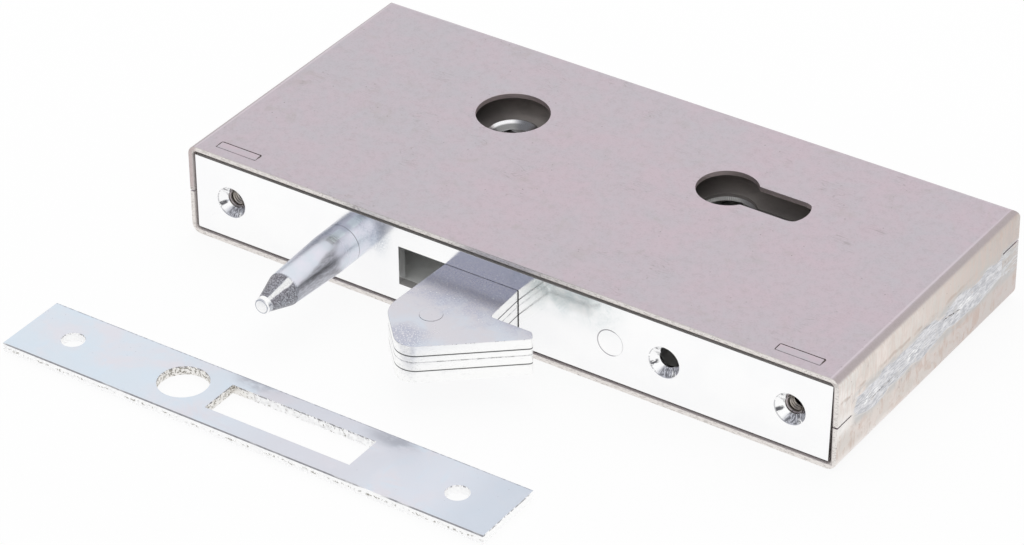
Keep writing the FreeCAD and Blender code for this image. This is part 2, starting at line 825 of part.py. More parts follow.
def guidePins():
    pins = []
    low = slideBottom - d.tenonClearance
    for index, (x, y) in enumerate(guidePlaces):
        pins.append(standing("slide_guide_pin_%d" % (index + 1), x, y, [
            (0, low), (d.guidePinRadius, low), (d.guidePinRadius, ceilingHeight),
            (d.tenonRadius, ceilingHeight), (d.tenonRadius, coverTop), (0, coverTop)]))
    group("slide_guide_pins", pins)


def tumblerPin():
    shoulder = tumblerBottom - d.restGap
    top = slideBottom - d.restGap
    standing("tumbler_pin", *tumblerPivot, [
        (0, trayBottom), (d.tenonRadius, trayBottom), (d.tenonRadius, floorHeight),
        (d.tumblerShoulderRadius, floorHeight), (d.tumblerShoulderRadius, shoulder),
        (d.tumblerPinRadius, shoulder), (d.tumblerPinRadius, top), (0, top)])


hookRivets = [(d.pivotPlace - d.hookRivetOffset, d.hookRivetDepth), (d.pivotPlace, d.hookRivetInner),
              (d.pivotPlace, d.hookRivetInner * 2)]


# One plate of the hook. The two inner plates also carry the tail and the lug.
def hookPlate(name, bottom, thickness, inner, sunkSide):
    body = newBody(name)
    leftFoot = (shankLeft, d.pivotDepth)
    heel = (shankLeft - d.heelSpread, -d.heelDepth)
    tip = (d.pivotPlace, -d.hookReach)
    noseTip = d.pivotPlace + d.noseReach
    nose = (noseTip, -d.noseDepth)
    noseBack = (noseTip - d.noseCorner, -d.hookThroat)
    throat = (shankRight + d.shankSpread, -d.hookThroat)
    profile = levelSketch(body, bottom)
    outline(profile, [leftFoot, (shankLeft, 0), heel, tip, nose, noseBack, throat,
                      (shankRight, 0), (shankRight, d.pivotDepth)])
    shank = pad(body, profile, thickness)
    step = rounded(body, shank, uprights([heel]), d.heelRound)
    step = rounded(body, step, uprights([tip]), d.tipRound)
    step = rounded(body, step, uprights([nose, noseBack]), d.noseRound)
    rounded(body, step, uprights([throat]), d.throatCorner)
    pad(body, circle(levelSketch(body, bottom), d.pivotPlace, d.pivotDepth, d.bossRadius), thickness)
    if inner:
        hookTail(body, bottom, thickness)
    pivotHole = d.pivotPinRadius + d.runningClearance
    holes = circle(levelSketch(body, bottom), d.pivotPlace, d.pivotDepth, pivotHole)
    holeRadius = d.hookRivetRadius + d.rivetClearance
    for x, y in hookRivets:
        circle(holes, x, y, holeRadius)
    drilled = cut(body, holes, thickness)
    if sunkSide is not None:
        chamfered(body, drilled, rings(holeRadius, height=sunkSide), d.hookRivetHead - d.hookRivetRadius)
    return body


def hookTail(body, bottom, thickness):
    half = d.tailWidth / 2
    bar = levelSketch(body, bottom, d.pivotPlace, d.pivotDepth, tailLean)
    tailEnd = tailReach + d.tailBeyond
    outline(bar, [(0, -half), (tailEnd, -half, half * 2), (tailEnd, half), (0, half)])
    pad(body, bar, thickness)
    slotHalf = d.drivePinRadius + d.drivePinClearance
    give = slotHalf + d.restGap
    slot = levelSketch(body, bottom, d.pivotPlace, d.pivotDepth, tailLean)
    rectangle(slot, tailReach - give, tailReach + give, -slotHalf, slotHalf)
    cut(body, slot, thickness)
    lug = levelSketch(body, bottom, d.pivotPlace, d.pivotDepth, lugAngle)
    lugHalf = d.lugWidth / 2
    pad(body, rectangle(lug, 0, lugReach, -lugHalf, lugHalf), thickness)
    lugEnd = levelSketch(body, bottom, d.pivotPlace, d.pivotDepth, lugAngle)
    pad(body, circle(lugEnd, lugReach, 0, d.lugRadius), thickness)


def hookRivetSet():
    rivets = []
    top = hookBottom + hookHeight
    sink = d.hookRivetHead - d.hookRivetRadius
    for index, (x, y) in enumerate(hookRivets):
        rivets.append(standing("hook_rivet_%d" % (index + 1), x, y, [
            (0, hookBottom), (d.hookRivetHead, hookBottom), (d.hookRivetRadius, hookBottom + sink),
            (d.hookRivetRadius, top - sink), (d.hookRivetHead, top), (0, top)]))
    group("hook_rivets", rivets)


def hook():
    level = hookBottom
    layers = [("hook_plate_bottom", d.hookLayerBottom, False), ("hook_plate_low", d.hookLayerLow, True),
              ("hook_plate_high", d.hookLayerHigh, True), ("hook_plate_top", d.hookLayerTop, False)]
    for index, (name, thickness, inner) in enumerate(layers):
        sunkSide = {0: level, 3: level + thickness}.get(index)
        hookPlate(name, level, thickness, inner, sunkSide)
        level = level + thickness
    hookRivetSet()


# The follower: a hub with collars in tray and cover, a square hole and one arm.
def follower():
    body = newBody("follower")
    gap = d.restGap
    where = (followerPlace, followerDepth)
    pad(body, circle(levelSketch(body, floorHeight + gap), *where, d.followerHubRadius), bodyInside - gap * 2)
    low = trayBottom - d.followerProud
    collar = circle(levelSketch(body, low), *where, d.followerCollarRadius)
    pad(body, collar, coverTop + d.followerProud - low)
    arm = levelSketch(body, innerLayersBottom, *where, armAngle)
    face = -d.lugRadius - d.contactGap
    outline(arm, [(0, face - d.followerArmWidth), (armReach - d.armTipLength, face - d.followerArmWidth),
                  (armReach, face - d.followerArmWidth + d.armTipWidth), (armReach, face), (0, face)])
    pad(body, arm, innerLayersTop - innerLayersBottom)
    half = d.squareHole / 2
    square = rectangle(levelSketch(body, low, *where), -half, half, -half, half)
    cut(body, square, coverTop + d.followerProud - low)
    recessFloor = coverTop + d.followerProud - d.followerRecessDepth
    recess = circle(levelSketch(body, recessFloor), *where, d.followerRecessRadius)
    cut(body, recess, d.followerRecessDepth)


# The slide carries the pin that drives the hook's tail and the stump that the tumbler holds.
def lockingSlide():
    body = newBody("locking_slide")
    notchRight = camNotchRight
    notchLeft = notchRight - d.camNotchWidth
    notchBack = slideFront + d.camNotchDepth
    profile = levelSketch(body, slideBottom)
    outline(profile, [(slideLeft, slideFront), (notchLeft, slideFront), (notchLeft, notchBack),
                      (notchRight, notchBack), (notchRight, slideFront),
                      (notchRight + d.slideToothWidth, slideFront),
                      (notchRight + d.slideToothWidth, slideRelief), (slideRight, slideRelief),
                      (slideRight, slideBack), (slideLeft, slideBack)])
    thickness = slideTop - slideBottom
    plate = pad(body, profile, thickness)
    corners = [(slideLeft, slideFront), (notchLeft, slideFront), (notchRight, slideFront),
               (notchRight + d.slideToothWidth, slideFront), (slideRight, slideRelief),
               (slideRight, slideBack), (slideLeft, slideBack)]
    rounded(body, plate, uprights(corners), d.cornerRound)
    slots = levelSketch(body, slideBottom)
    half = d.guidePinRadius + d.drivePinClearance
    for x, y in guidePlaces:
        rectangle(slots, x - slideTravel - half - d.restGap, x + half + d.restGap, y - half, y + half)
    circle(slots, drivePinPlace, drivePinDepth, d.drivePinRadius + d.tenonClearance)
    circle(slots, stumpPlace, stumpDepth, d.stumpRadius + d.tenonClearance)
    cut(body, slots, thickness)
    driveBottom = innerLayersBottom - d.restGap
    standing("drive_pin", drivePinPlace, drivePinDepth, [
        (0, driveBottom), (d.drivePinRadius, driveBottom), (d.drivePinRadius, slideTop), (0, slideTop)])
    stumpBottom = tumblerBottom - d.restGap
    standing("slide_stump", stumpPlace, stumpDepth, [
        (0, stumpBottom), (d.stumpRadius, stumpBottom), (d.stumpRadius, slideTop), (0, slideTop)])


# The tumbler: a lever with a ramped gate in its front edge and a belly over the cam.
def tumbler():
    body = newBody("tumbler_lever")
    gateLeft = stumpPlace - d.stumpRadius - d.contactGap
    gateRight = stumpPlace + d.stumpRadius + d.contactGap
    gateBack = stumpDepth + d.stumpRadius + d.gateSpare
    bellyLeft = d.cylinderPlace - d.camNotchWidth / 2
    bellyRight = d.cylinderPlace + d.camNotchWidth / 2
    left = stumpPlace - d.tumblerNose
    profile = levelSketch(body, tumblerBottom)
    outline(profile, [(left, tumblerFront), (gateLeft, tumblerFront), (gateLeft, gateBack),
                      (gateRight, gateBack), (gateRight + d.gateRamp, tumblerFront),
                      (bellyLeft, tumblerFront), (bellyLeft + d.tumblerBelly, tumblerFront - d.tumblerBelly),
                      (bellyRight - d.tumblerBelly, tumblerFront - d.tumblerBelly),
                      (bellyRight, tumblerFront), (tumblerPivotPlace, tumblerFront),
                      (tumblerPivotPlace, tumblerBack), (left, tumblerBack)])
    lever = pad(body, profile, d.tumblerThickness)
    rounded(body, lever, uprights([(left, tumblerFront), (left, tumblerBack)]), d.cornerRound)
    boss = circle(levelSketch(body, tumblerBottom), *tumblerPivot, d.tumblerBossRadius)
    pad(body, boss, d.tumblerThickness)
    bore = circle(levelSketch(body, tumblerBottom), *tumblerPivot, d.tumblerPinRadius + d.runningClearance)
    cut(body, bore, d.tumblerThickness)


# A coil of whole turns whose axis lies flat, turned from the across direction by an angle.
def coil(body, x, y, height, turn, radius, wire, turns, length):
    profile = sketch(body, "XY_Plane", (x, y - caseDepth / 2, height), turn)
    circle(profile, 0, radius, wire)
    wound = body.newObject("PartDesign::AdditiveHelix", body.Name + "Coil")
    wound.Profile = profile
    wound.ReferenceAxis = (profile, ["H_Axis"])
    wound.Mode = 0
    bind(wound, "Pitch", length / turns)
    bind(wound, "Height", length)


def hookSpring():
    body = newBody("hook_spring")
    start = springPostPlace + d.springPostRadius + d.springLeg
    length = slideLeft - d.springLeg - start
    height = slideTop - d.springRadius - d.springWire
    coil(body, start, drivePinDepth, height, 0, d.springRadius, d.springWire, d.springTurns, length)
    legRadius = d.springRadius - d.springLegShift
    for left, right in ((springPostPlace + d.springPostRadius + d.restGap, start + d.springWire * 2),
                        (start + length - d.springWire * 2, slideLeft - d.restGap)):
        leg = sketch(body, "YZ_Plane", (drivePinDepth - caseDepth / 2 + legRadius, height, left))
        pad(body, circle(leg, 0, 0, d.springWire), right - left)


def tumblerSpring():
    body = newBody("tumbler_spring")
    start = tumblerBack + d.restGap + d.springWire
    length = bodyBack - d.plate - d.restGap - d.springWire - start
    height = tumblerBottom + d.tumblerThickness / 2
    coil(body, stumpPlace + d.tumblerSpringOffset, start, height, 90, d.tumblerSpringRadius, d.springWire,
         d.tumblerSpringTurns, length)


# The strike plate lies flat in front of the case.
def strikePlate():
    body = newBody("strike_plate")
    right = d.strikeLeft + d.strikeLength
    middle = d.strikeFront + d.strikeWidth / 2
    pad(body, rectangle(levelSketch(body, 0), d.strikeLeft, right, d.strikeFront,
                        d.strikeFront + d.strikeWidth), d.strikeThickness)
    holes = levelSketch(body, 0)
    leftHole = d.strikeLeft + d.strikeHoleInset
    for x in (leftHole, leftHole + d.strikeHolePitch):
        circle(holes, x, middle, d.strikeHoleRadius)
    catchLine = middle + d.strikeCentreOffset
    circle(holes, d.strikeLeft + d.strikePinInset, catchLine, d.pinRadius + d.strikePinRoom)
    slotLeft = d.strikeLeft + d.strikeSlotInset
    slotHalf = (hookHeight + d.strikeSlotRoom) / 2
    rectangle(holes, slotLeft, slotLeft + d.strikeSlotLength, catchLine - slotHalf, catchLine + slotHalf)
    cut(body, holes, d.strikeThickness)


lowerShell()
upperShell()
seamWelds()
bracket("left_bracket", leftScrew)
bracket("right_bracket", rightScrew)
forend()
forendRivet()
guidePin()
block("guide_pin_block", d.pinPlace, d.pinShankRadius + d.tenonClearance)
block("rivet_block", d.rivetPlace, d.rivetRadius + d.rivetClearance)
lockTray()
lockCover()
coverFixings()
tenonPin("hook_pivot_pin", pivotPlace, d.pivotPinRadius)
tenonPin("spring_post", springPost, d.springPostRadius)
guidePins()
tumblerPin()
hook()
follower()
lockingSlide()
tumbler()
hookSpring()
tumblerSpring()
strikePlate()
document.recompute()

# Every object is sound before any piece is written.
for thing in document.Objects:
    if "Invalid" in thing.State or "Error" in thing.State:
        raise RuntimeError("failed object " + thing.Name + " " + str(thing.State))
    if thing.TypeId == "PartDesign::Pocket" and not thing.Shape.Volume < thing.BaseFeature.Shape.Volume:
        raise RuntimeError("a cut removed nothing: " + thing.Name)
for node in nodes:
    if node.Shape.isNull() or not node.Shape.isValid():
        raise RuntimeError("unsound piece " + node.Label)

os.makedirs("parts", exist_ok=True)
for node in nodes:
    node.Shape.exportStep("parts/" + node.Label + ".step")
print(len(nodes), "nodes written")
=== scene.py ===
import math

import bmesh
import bpy
from mathutils import Euler, Matrix, Vector, noise


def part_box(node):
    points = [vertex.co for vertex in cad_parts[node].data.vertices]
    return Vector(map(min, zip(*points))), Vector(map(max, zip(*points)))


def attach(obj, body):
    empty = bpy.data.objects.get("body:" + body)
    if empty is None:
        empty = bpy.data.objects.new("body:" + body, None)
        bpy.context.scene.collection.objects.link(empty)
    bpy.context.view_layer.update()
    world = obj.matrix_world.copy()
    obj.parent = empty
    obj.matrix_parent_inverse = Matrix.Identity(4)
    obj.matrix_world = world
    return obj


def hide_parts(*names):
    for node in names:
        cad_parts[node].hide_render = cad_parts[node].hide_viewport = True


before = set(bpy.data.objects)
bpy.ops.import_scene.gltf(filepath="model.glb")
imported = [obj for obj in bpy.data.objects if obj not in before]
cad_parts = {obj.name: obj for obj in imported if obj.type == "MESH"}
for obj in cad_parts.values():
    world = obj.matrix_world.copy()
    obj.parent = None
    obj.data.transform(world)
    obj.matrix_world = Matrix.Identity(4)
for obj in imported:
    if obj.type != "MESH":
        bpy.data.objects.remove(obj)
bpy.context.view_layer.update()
scene = bpy.context.scene
mm = 0.001


def arithmetic(operation, flipped=False):
    def act(self, other=0.0):
        first, second = (other, self) if flipped else (self, other)
        return self.paint.node("Math", {"operation": operation}, {0: first, 1: second})
    return act


class Wire:   # a value that leaves a node, with plain arithmetic
    def __init__(self, paint, socket):
        self.paint = paint
        self.socket = socket

    __add__ = arithmetic("ADD")
    __radd__ = arithmetic("ADD", True)
    __sub__ = arithmetic("SUBTRACT")
    __rsub__ = arithmetic("SUBTRACT", True)
    __mul__ = arithmetic("MULTIPLY")
    __rmul__ = arithmetic("MULTIPLY", True)
    __pow__ = arithmetic("POWER")
    lower = arithmetic("MINIMUM")
    higher = arithmetic("MAXIMUM")
    size = arithmetic("ABSOLUTE")
    bearing = arithmetic("ARCTAN2", True)   # of the place (self, other), 0 to the right, in radians

    def diagonal(self, other):
        return (self ** 2 + other ** 2) ** 0.5

    def fade(self, start, end):   # 0 at start, 1 at end, smooth between them, start may be the higher
        values = {"Value": self, "From Min": start, "From Max": end}
        return self.paint.node("MapRange", {"interpolation_type": "SMOOTHSTEP"}, values)


class Board:   # a node tree that nodes are put on
    def __init__(self, tree):
        self.tree = tree

    def node(self, kind, settings=None, inputs=None, output=0):
        made = self.tree.nodes.new("ShaderNode" + kind)
        for key, value in (settings or {}).items():
            setattr(made, key, value)
        for key, value in (inputs or {}).items():
            if isinstance(value, Wire):
                self.tree.links.new(value.socket, made.inputs[key])
            else:
                made.inputs[key].default_value = value
        return Wire(self, made.outputs[output])

    def split(self, vector):
        made = self.tree.nodes.new("ShaderNodeSeparateXYZ")
        self.tree.links.new(vector.socket, made.inputs[0])
        return [Wire(self, socket) for socket in made.outputs]

    def mix(self, amount, first, second):
        values = {0: amount}
        for key, colour in ((6, first), (7, second)):
            values[key] = colour if isinstance(colour, Wire) else (*colour, 1)
        return self.node("Mix", {"data_type": "RGBA"}, values, 2)


class Paint(Board):   # a material, with places in mm and the direction that the surface faces
    def __init__(self, name, look):
        self.material = bpy.data.materials.new(name)
        self.material.use_nodes = True
        super().__init__(self.material.node_tree)
        self.shader = self.tree.nodes["Principled BSDF"]
        for socket, value in look.items():
            self.shader.inputs[socket].default_value = value
        inMetres = self.node("TexCoord", output="Object")
        self.place = self.node("VectorMath", {"operation": "SCALE"}, {0: inMetres, "Scale": 1 / mm})
        self.x, self.y, self.z = self.split(self.place)
        self.facing = self.split(self.node("TexCoord", output="Normal"))

    def stretched(self, scale, turn=(0, 0, 0)):
        values = {"Vector": self.place, "Scale": scale, "Rotation": turn}
        return self.node("Mapping", None, values)

    def cloud(self, size, detail=4.0, rough=0.55, place=None, warp=0.0):   # size of a blotch in mm
        values = {"Vector": place or self.place, "Scale": 1 / size, "Distortion": warp,
                  "Detail": detail, "Roughness": rough}
        return self.node("TexNoise", None, values)

    def cells(self, size, place=None, feature="F1"):
        values = {"Vector": place or self.place, "Scale": 1 / size}
        return self.node("TexVoronoi", {"feature": feature}, values)

    def relief(self, height, depth):   # depth in mm for a height of 1
        return self.node("Bump", None, {"Height": height, "Distance": depth * mm})

    def feed(self, **links):
        names = {"colour": "Base Color", "roughness": "Roughness", "metallic": "Metallic",
                 "normal": "Normal"}
        for key, wire in links.items():
            self.tree.links.new(wire.socket, self.shader.inputs[names[key]])
        return self.material


rawSteelLook = {   # here and below a pair of numbers is where a mask begins and where it is full
    "mauve": (0.605, 0.512, 0.562),
    "grey": (0.560, 0.526, 0.566),
    "tan": (0.50, 0.455, 0.455),
    "stain": (0.40, 0.34, 0.36),
    "speck": (0.25, 0.21, 0.21),
    "cutEdge": (0.86, 0.82, 0.79),
    "cutGrain": (0.34, 0.31, 0.29),
    "bendShade": (0.43, 0.38, 0.375),
    "crest": (0.74, 0.67, 0.71),
    "holeWall": (0.62, 0.525, 0.525),
    "rusty": (0.52, 0.43, 0.425),
    "inner": (0.64, 0.59, 0.57),
    "groundDark": (0.50, 0.505, 0.54),
    "groundPale": (0.70, 0.71, 0.75),
    "seam": 14.0,
    "roughness": 0.40,
    "greyer": (0, -90),
    "frontFace": (-49.1, -49.4),
    "backFace": (49.2, 49.4),
    "openings": ((102.5, 101.5), (46.5, 45.5), (27.2, 27.6)),   # x, y and z of the top's cut edges
    "rims": ((28.55, 28.85), (27.85, 27.6), (26, 27)),   # upper edge of the front, then its lower edge
    "rust": ((-102.5, -104.2), (14.2, 15.5)),   # x and z
    "notches": (14.3, (1.5, 0.5), (103, 104)),   # height, reach up and down, x
    "groundBand": ((1.4, 0.2), (100, 96)),   # reach past its ragged border, x
    "inside": ((104.9, 104.6), (48.3, 47.9), (1.3, 1.6), (27.7, 27.4)),   # x, y, foot, top
}
endLook = {   # the two short ends of the case, paler towards the front and tinted by the weld
    "front": (0.94, 0.91, 0.885),
    "cream": (0.86, 0.795, 0.75),
    "back": (0.60, 0.54, 0.51),
    "low": (0.79, 0.72, 0.68),
    "lowBack": (0.67, 0.605, 0.585),
    "hatch": (0.72, 0.59, 0.53),
    "heat": (0.585, 0.435, 0.36),
    "green": (0.64, 0.63, 0.595),
    "line": (0.50, 0.40, 0.34),
    "fringe": (0.57, 0.575, 0.575),
    "streak": (0.74, 0.75, 0.77),
    "seam": 14.65,
    "toBack": (-34, 46),
    "toFront": (-37, -47),
    "lowPart": (12, 8),
    "hatchAbove": (13, 18),
    "heatLow": (11.6, 10),
    "heatHigh": ((24, 26), (12, 30)),   # z and y
    "whiteLow": ((4.5, 2), (10, -30)),   # z and y
    "lineAbove": 6.2,
    "lineFront": (30, 10),
    "fringeReach": (6.6, 4.2),
    "fringeFrom": (-43, -39),
    "step": ((39.5, 41.5), (5.5, 4)),   # y and reach up and down
}
tabLook = {
    "places": (-91.75, 91.25),
    "middle": -44.5,
    "halfLength": 6.85,
    "halfWidth": 1.55,
    "corner": 0.55,
    "outline": (0.13, 0.10, 0.09),
    "lineWidth": (0.25, 0.08),
    "blotWidth": (0.42, 0.15),
    "blotPlace": (5.9, 6.7),
    "behind": (-1.2, 0.6),
    "topFace": (27.8, 28.4),
}


def scratches(paint, length, turn):   # a few short thin lines lying one way
    lying = paint.stretched((1 / length, 1 / 0.9, 1 / length), (0, 0, turn))
    width = paint.cells(1.0, lying, "DISTANCE_TO_EDGE")
    chosen = paint.cloud(length * 1.4, 2, 0.5).fade(0.60, 0.66)
    return width.fade(0.04, 0.012) * chosen


def tabOutline(paint):   # dark line painted round the bracket tabs as the shade in their gaps, paler in front, blotted at the right
    look = tabLook
    line = 0.0
    corner = look["corner"]
    for place in look["places"]:
        across, along = paint.x - place, paint.y - look["middle"]
        beyondX = (across.size() - look["halfLength"] + corner).higher(0.0)
        beyondY = (along.size() - look["halfWidth"] + corner).higher(0.0)
        edge = ((beyondX * beyondX + beyondY * beyondY) ** 0.5 - corner).size()
        behind = along.fade(*look["behind"])
        blot = edge.fade(*look["blotWidth"]) * across.fade(*look["blotPlace"]) * behind
        line = edge.fade(*look["lineWidth"]) * (0.42 + 0.5 * behind) + blot * 0.7 + line
    paintedShading = 0.65 + paint.cloud(1.5, 3, 0.6).fade(0.42, 0.55) * 0.35
    return (line * paintedShading).lower(1.0) * paint.z.fade(*look["topFace"])


def endColour(paint):   # also on the feathered borders of the weld bands
    look = endLook
    soft = paint.cloud(7, 5, 0.6).fade(0.36, 0.66)
    toBack = paint.y.fade(*look["toBack"])
    colour = paint.mix(toBack, look["cream"], look["back"])
    colour = paint.mix(paint.y.fade(*look["toFront"]), colour, look["front"])
    lowColour = paint.mix(toBack, look["low"], look["lowBack"])
    colour = paint.mix(paint.z.fade(*look["lowPart"]) * 0.9, colour, lowColour)
    colour = paint.mix(soft * 0.42, colour, look["green"])
    upright = paint.cloud(0.7, 3, 0.65, paint.stretched((1, 1, 0.13))).fade(0.42, 0.60)
    colour = paint.mix(upright * 0.42 * paint.z.fade(*look["hatchAbove"]), colour, look["hatch"])
    heat = paint.cloud(3.6, 5, 0.65, paint.stretched((1, 1, 0.6)), 0.7).fade(0.47, 0.64)
    above, behind = look["heatHigh"]
    high = paint.z.fade(*above) * paint.y.fade(*behind) * 0.4
    heat = heat * (paint.z.fade(*look["heatLow"]) * 0.75 + high)
    colour = paint.mix(heat * (0.52 + upright * 0.28), colour, look["heat"])
    below, before = look["whiteLow"]
    white = paint.z.fade(*below) * paint.y.fade(*before)
    colour = paint.mix(white * 0.6, colour, look["front"])
    level = paint.z - look["seam"] + (paint.cloud(6, 3, 0.5) - 0.5) * 2.4
    line = (level - look["lineAbove"]).size().fade(0.9, 0.15)
    line = line * paint.cloud(4, 3, 0.5).fade(0.38, 0.56) * paint.y.fade(*look["lineFront"])
    colour = paint.mix(line * 0.5, colour, look["line"])
    patches = paint.cloud(2.6, 4, 0.6, paint.stretched((1, 0.35, 1))).fade(0.34, 0.58)
    fringe = level.size().fade(*look["fringeReach"]) * patches * paint.y.fade(*look["fringeFrom"])
    colour = paint.mix(fringe * 0.7, colour, look["fringe"])
    streaks = paint.cloud(0.8, 4, 0.7, paint.stretched((1, 0.15, 1)), 0.3).fade(0.42, 0.60)
    place, reach = look["step"]
    pastStep = paint.y.fade(*place) * level.size().fade(*reach)
    colour = paint.mix(streaks * pastStep * 0.85, colour, look["streak"])
    stain = paint.cells(2.6).fade(0.12, 0.05) * paint.cloud(6).fade(0.50, 0.60)
    return paint.mix(stain * 0.6, colour, look["line"])


def makeRawSteel():
    look = rawSteelLook
    paint = Paint("rawSteel", {})
    across, along, up = paint.facing
    wide = paint.cloud(26, 5, 0.55, warp=0.5).fade(0.34, 0.68)
    small = paint.cloud(6, 5, 0.6, warp=0.6).fade(0.38, 0.66)
    mottle = (wide * 0.55 + small * 0.4 + paint.x.fade(*look["greyer"]) * 0.3).lower(1.0)
    fine = paint.cloud(2.2, 5, 0.65)
    grain = paint.cloud(0.55, 3, 0.65)
    colour = paint.mix(mottle, look["mauve"], look["grey"])
    tan = paint.cloud(8, 5, 0.6, warp=0.8).fade(0.55, 0.76) * 0.5
    colour = paint.mix(tan, colour, look["tan"])
    colour = paint.mix((fine * 0.5 + grain * 0.5).fade(0.44, 0.70) * 0.28, colour, look["stain"])
    behind = along.fade(0.6, 0.9) * paint.y.fade(*look["backFace"])
    scratch = scratches(paint, 8, 0.30) * (1 - behind)
    specks = paint.cells(2.2).fade(0.12, 0.05) * paint.cloud(8).fade(0.53, 0.63)
    side = across.size().fade(0.66, 0.92)
    # painted shade: a darker band where the surface turns over the bend
    bendShade = across.size().fade(0.18, 0.50) * across.size().fade(0.96, 0.74)
    colour = paint.mix(side, colour, endColour(paint))
    colour = paint.mix(bendShade * (0.50 + grain * 0.55).lower(0.95), colour, look["bendShade"])
    # painted highlight: a pale line where the top starts to turn into the bend
    crest = across.size().fade(0.02, 0.10) * across.size().fade(0.30, 0.18) * (0.3 + fine * 0.4)
    colour = paint.mix(crest, colour, look["crest"])
    byX, byY, byZ = look["openings"]
    inHole = (1 - up.size().fade(0.3, 0.6)) * paint.z.fade(*byZ) * paint.y.size().fade(*byY)
    colour = paint.mix(inHole * paint.x.size().fade(*byX), colour, look["holeWall"])
    front = along.fade(-0.6, -0.9) * paint.y.fade(*look["frontFace"])
    fibre = paint.cloud(0.4, 4, 0.7, paint.stretched((0.3, 1, 1))).fade(0.48, 0.62)
    dots = paint.cells(0.5).fade(0.34, 0.15) * paint.cloud(2.0).fade(0.46, 0.58)
    upper, lowerTop, lowerFoot = look["rims"]
    rims = paint.z.fade(*upper).higher(paint.z.fade(*lowerTop) * paint.z.fade(*lowerFoot))
    marks = (dots * 0.6 + fibre * 0.42).higher(rims * 0.35)
    cut = paint.mix(marks, look["cutEdge"], look["cutGrain"])
    leftEnd, above = look["rust"]
    cut = paint.mix(paint.x.fade(*leftEnd) * paint.z.fade(*above) * 0.75, cut, look["rusty"])
    level, reach, byX = look["notches"]
    notch = (paint.z - level).size().fade(*reach) * paint.x.size().fade(*byX) * fibre
    colour = paint.mix(front, colour, paint.mix(notch * 0.7, cut, look["cutGrain"]))
    swell = paint.cloud(14, 3, 0.6) * 4 + fine
    strokes = paint.cloud(0.5, 4, 0.7, paint.stretched((0.16, 1, 1))).fade(0.36, 0.64)
    reach, byX = look["groundBand"]
    band = ((paint.z - look["seam"]).size() - swell).fade(*reach) * paint.x.size().fade(*byX) * behind
    ground = paint.mix(strokes, look["groundDark"], look["groundPale"])
    colour = paint.mix(band * (0.45 + fine * 0.6).lower(0.9), colour, ground)
    outline = tabOutline(paint)
    colour = paint.mix(specks * 0.65 + scratch * 0.35, colour, look["speck"])
    colour = paint.mix(outline, colour, tabLook["outline"])
    byX, byY, aboveFoot, belowTop = look["inside"]
    inside = paint.x.size().fade(*byX) * paint.z.fade(*aboveFoot) * paint.z.fade(*belowTop)
    inside = inside * paint.y.fade(*byY)
    colour = paint.mix(inside, colour, look["inner"])
    metallic = 0.92 - inside * 0.75
    roughness = look["roughness"] + fine * 0.10 + side * 0.05 - scratch * 0.1
    roughness = roughness + specks * 0.2 + inside * 0.2
    height = grain * 0.35 + fine * 0.4 - scratch * 0.5 - specks * 0.8 - front * dots * 2 - outline
    normal = paint.relief(height, 0.018)
    return paint.feed(colour=colour, roughness=roughness, metallic=metallic, normal=normal)


threadLook = {
    "holes": {"left_bracket": -91.75, "right_bracket": 91.25},
    "root": (0.13, 0.115, 0.10),
    "height": 14.1,
    "wall": 2.16,
    "crest": 1.80,
    "pitch": 0.8,
    "front": -45.8,
    "turns": 3,
    "steps": 28,
    "flank": 0.42,   # half of the ridge's foot, as a part of the pitch
    "shadow": (2.6, 2.3),   # distance from the hole's axis
    "belowTop": (28.6, 27.5),
}


def makeBracketSteel():
    look = rawSteelLook
    paint = Paint("bracketSteel", {"Metallic": 0.9})
    blotch = paint.cloud(5, 4, 0.6)
    colour = paint.mix(blotch.fade(0.35, 0.65), look["mauve"], look["grey"])
    below = paint.z.fade(*threadLook["belowTop"])
    colour = paint.mix(below * 0.5, colour, look["inner"])
    # painted shade inside each tapped hole, round its axis
    for place in threadLook["holes"].values():
        away = (paint.x - place).diagonal(paint.z - threadLook["height"])
        colour = paint.mix(away.fade(*threadLook["shadow"]), colour, threadLook["root"])
    colour = paint.mix(tabOutline(paint), colour, tabLook["outline"])
    roughness = 0.38 + blotch * 0.18
    return paint.feed(colour=colour, roughness=roughness, normal=paint.relief(paint.cloud(0.6), 0.02))


weldLook = {
    "dark": (0.47, 0.475, 0.505),
    "light": (0.80, 0.795, 0.815),
    "glint": (0.98, 0.98, 0.98),
    "crackShade": (0.05, 0.045, 0.045),
    "bright": (19, -10, -33),   # y of the white spots
    "brightReach": ((5.5, 2), (1.7, 0.7)),   # y and z
    "middle": 14.65,
    "cracks": ((-26, 6.5, 13.5, 0.02), (11.5, 5.5, 15.3, -0.2)),   # y, half length, z, slope
    "crackWidth": (0.20, 0.07),
    "feathered": (106.12, 106.01),   # distance from the middle of the case
    "bottom": (105.99, 105.9),
    "beforeBack": (49.2, 48.9),
}


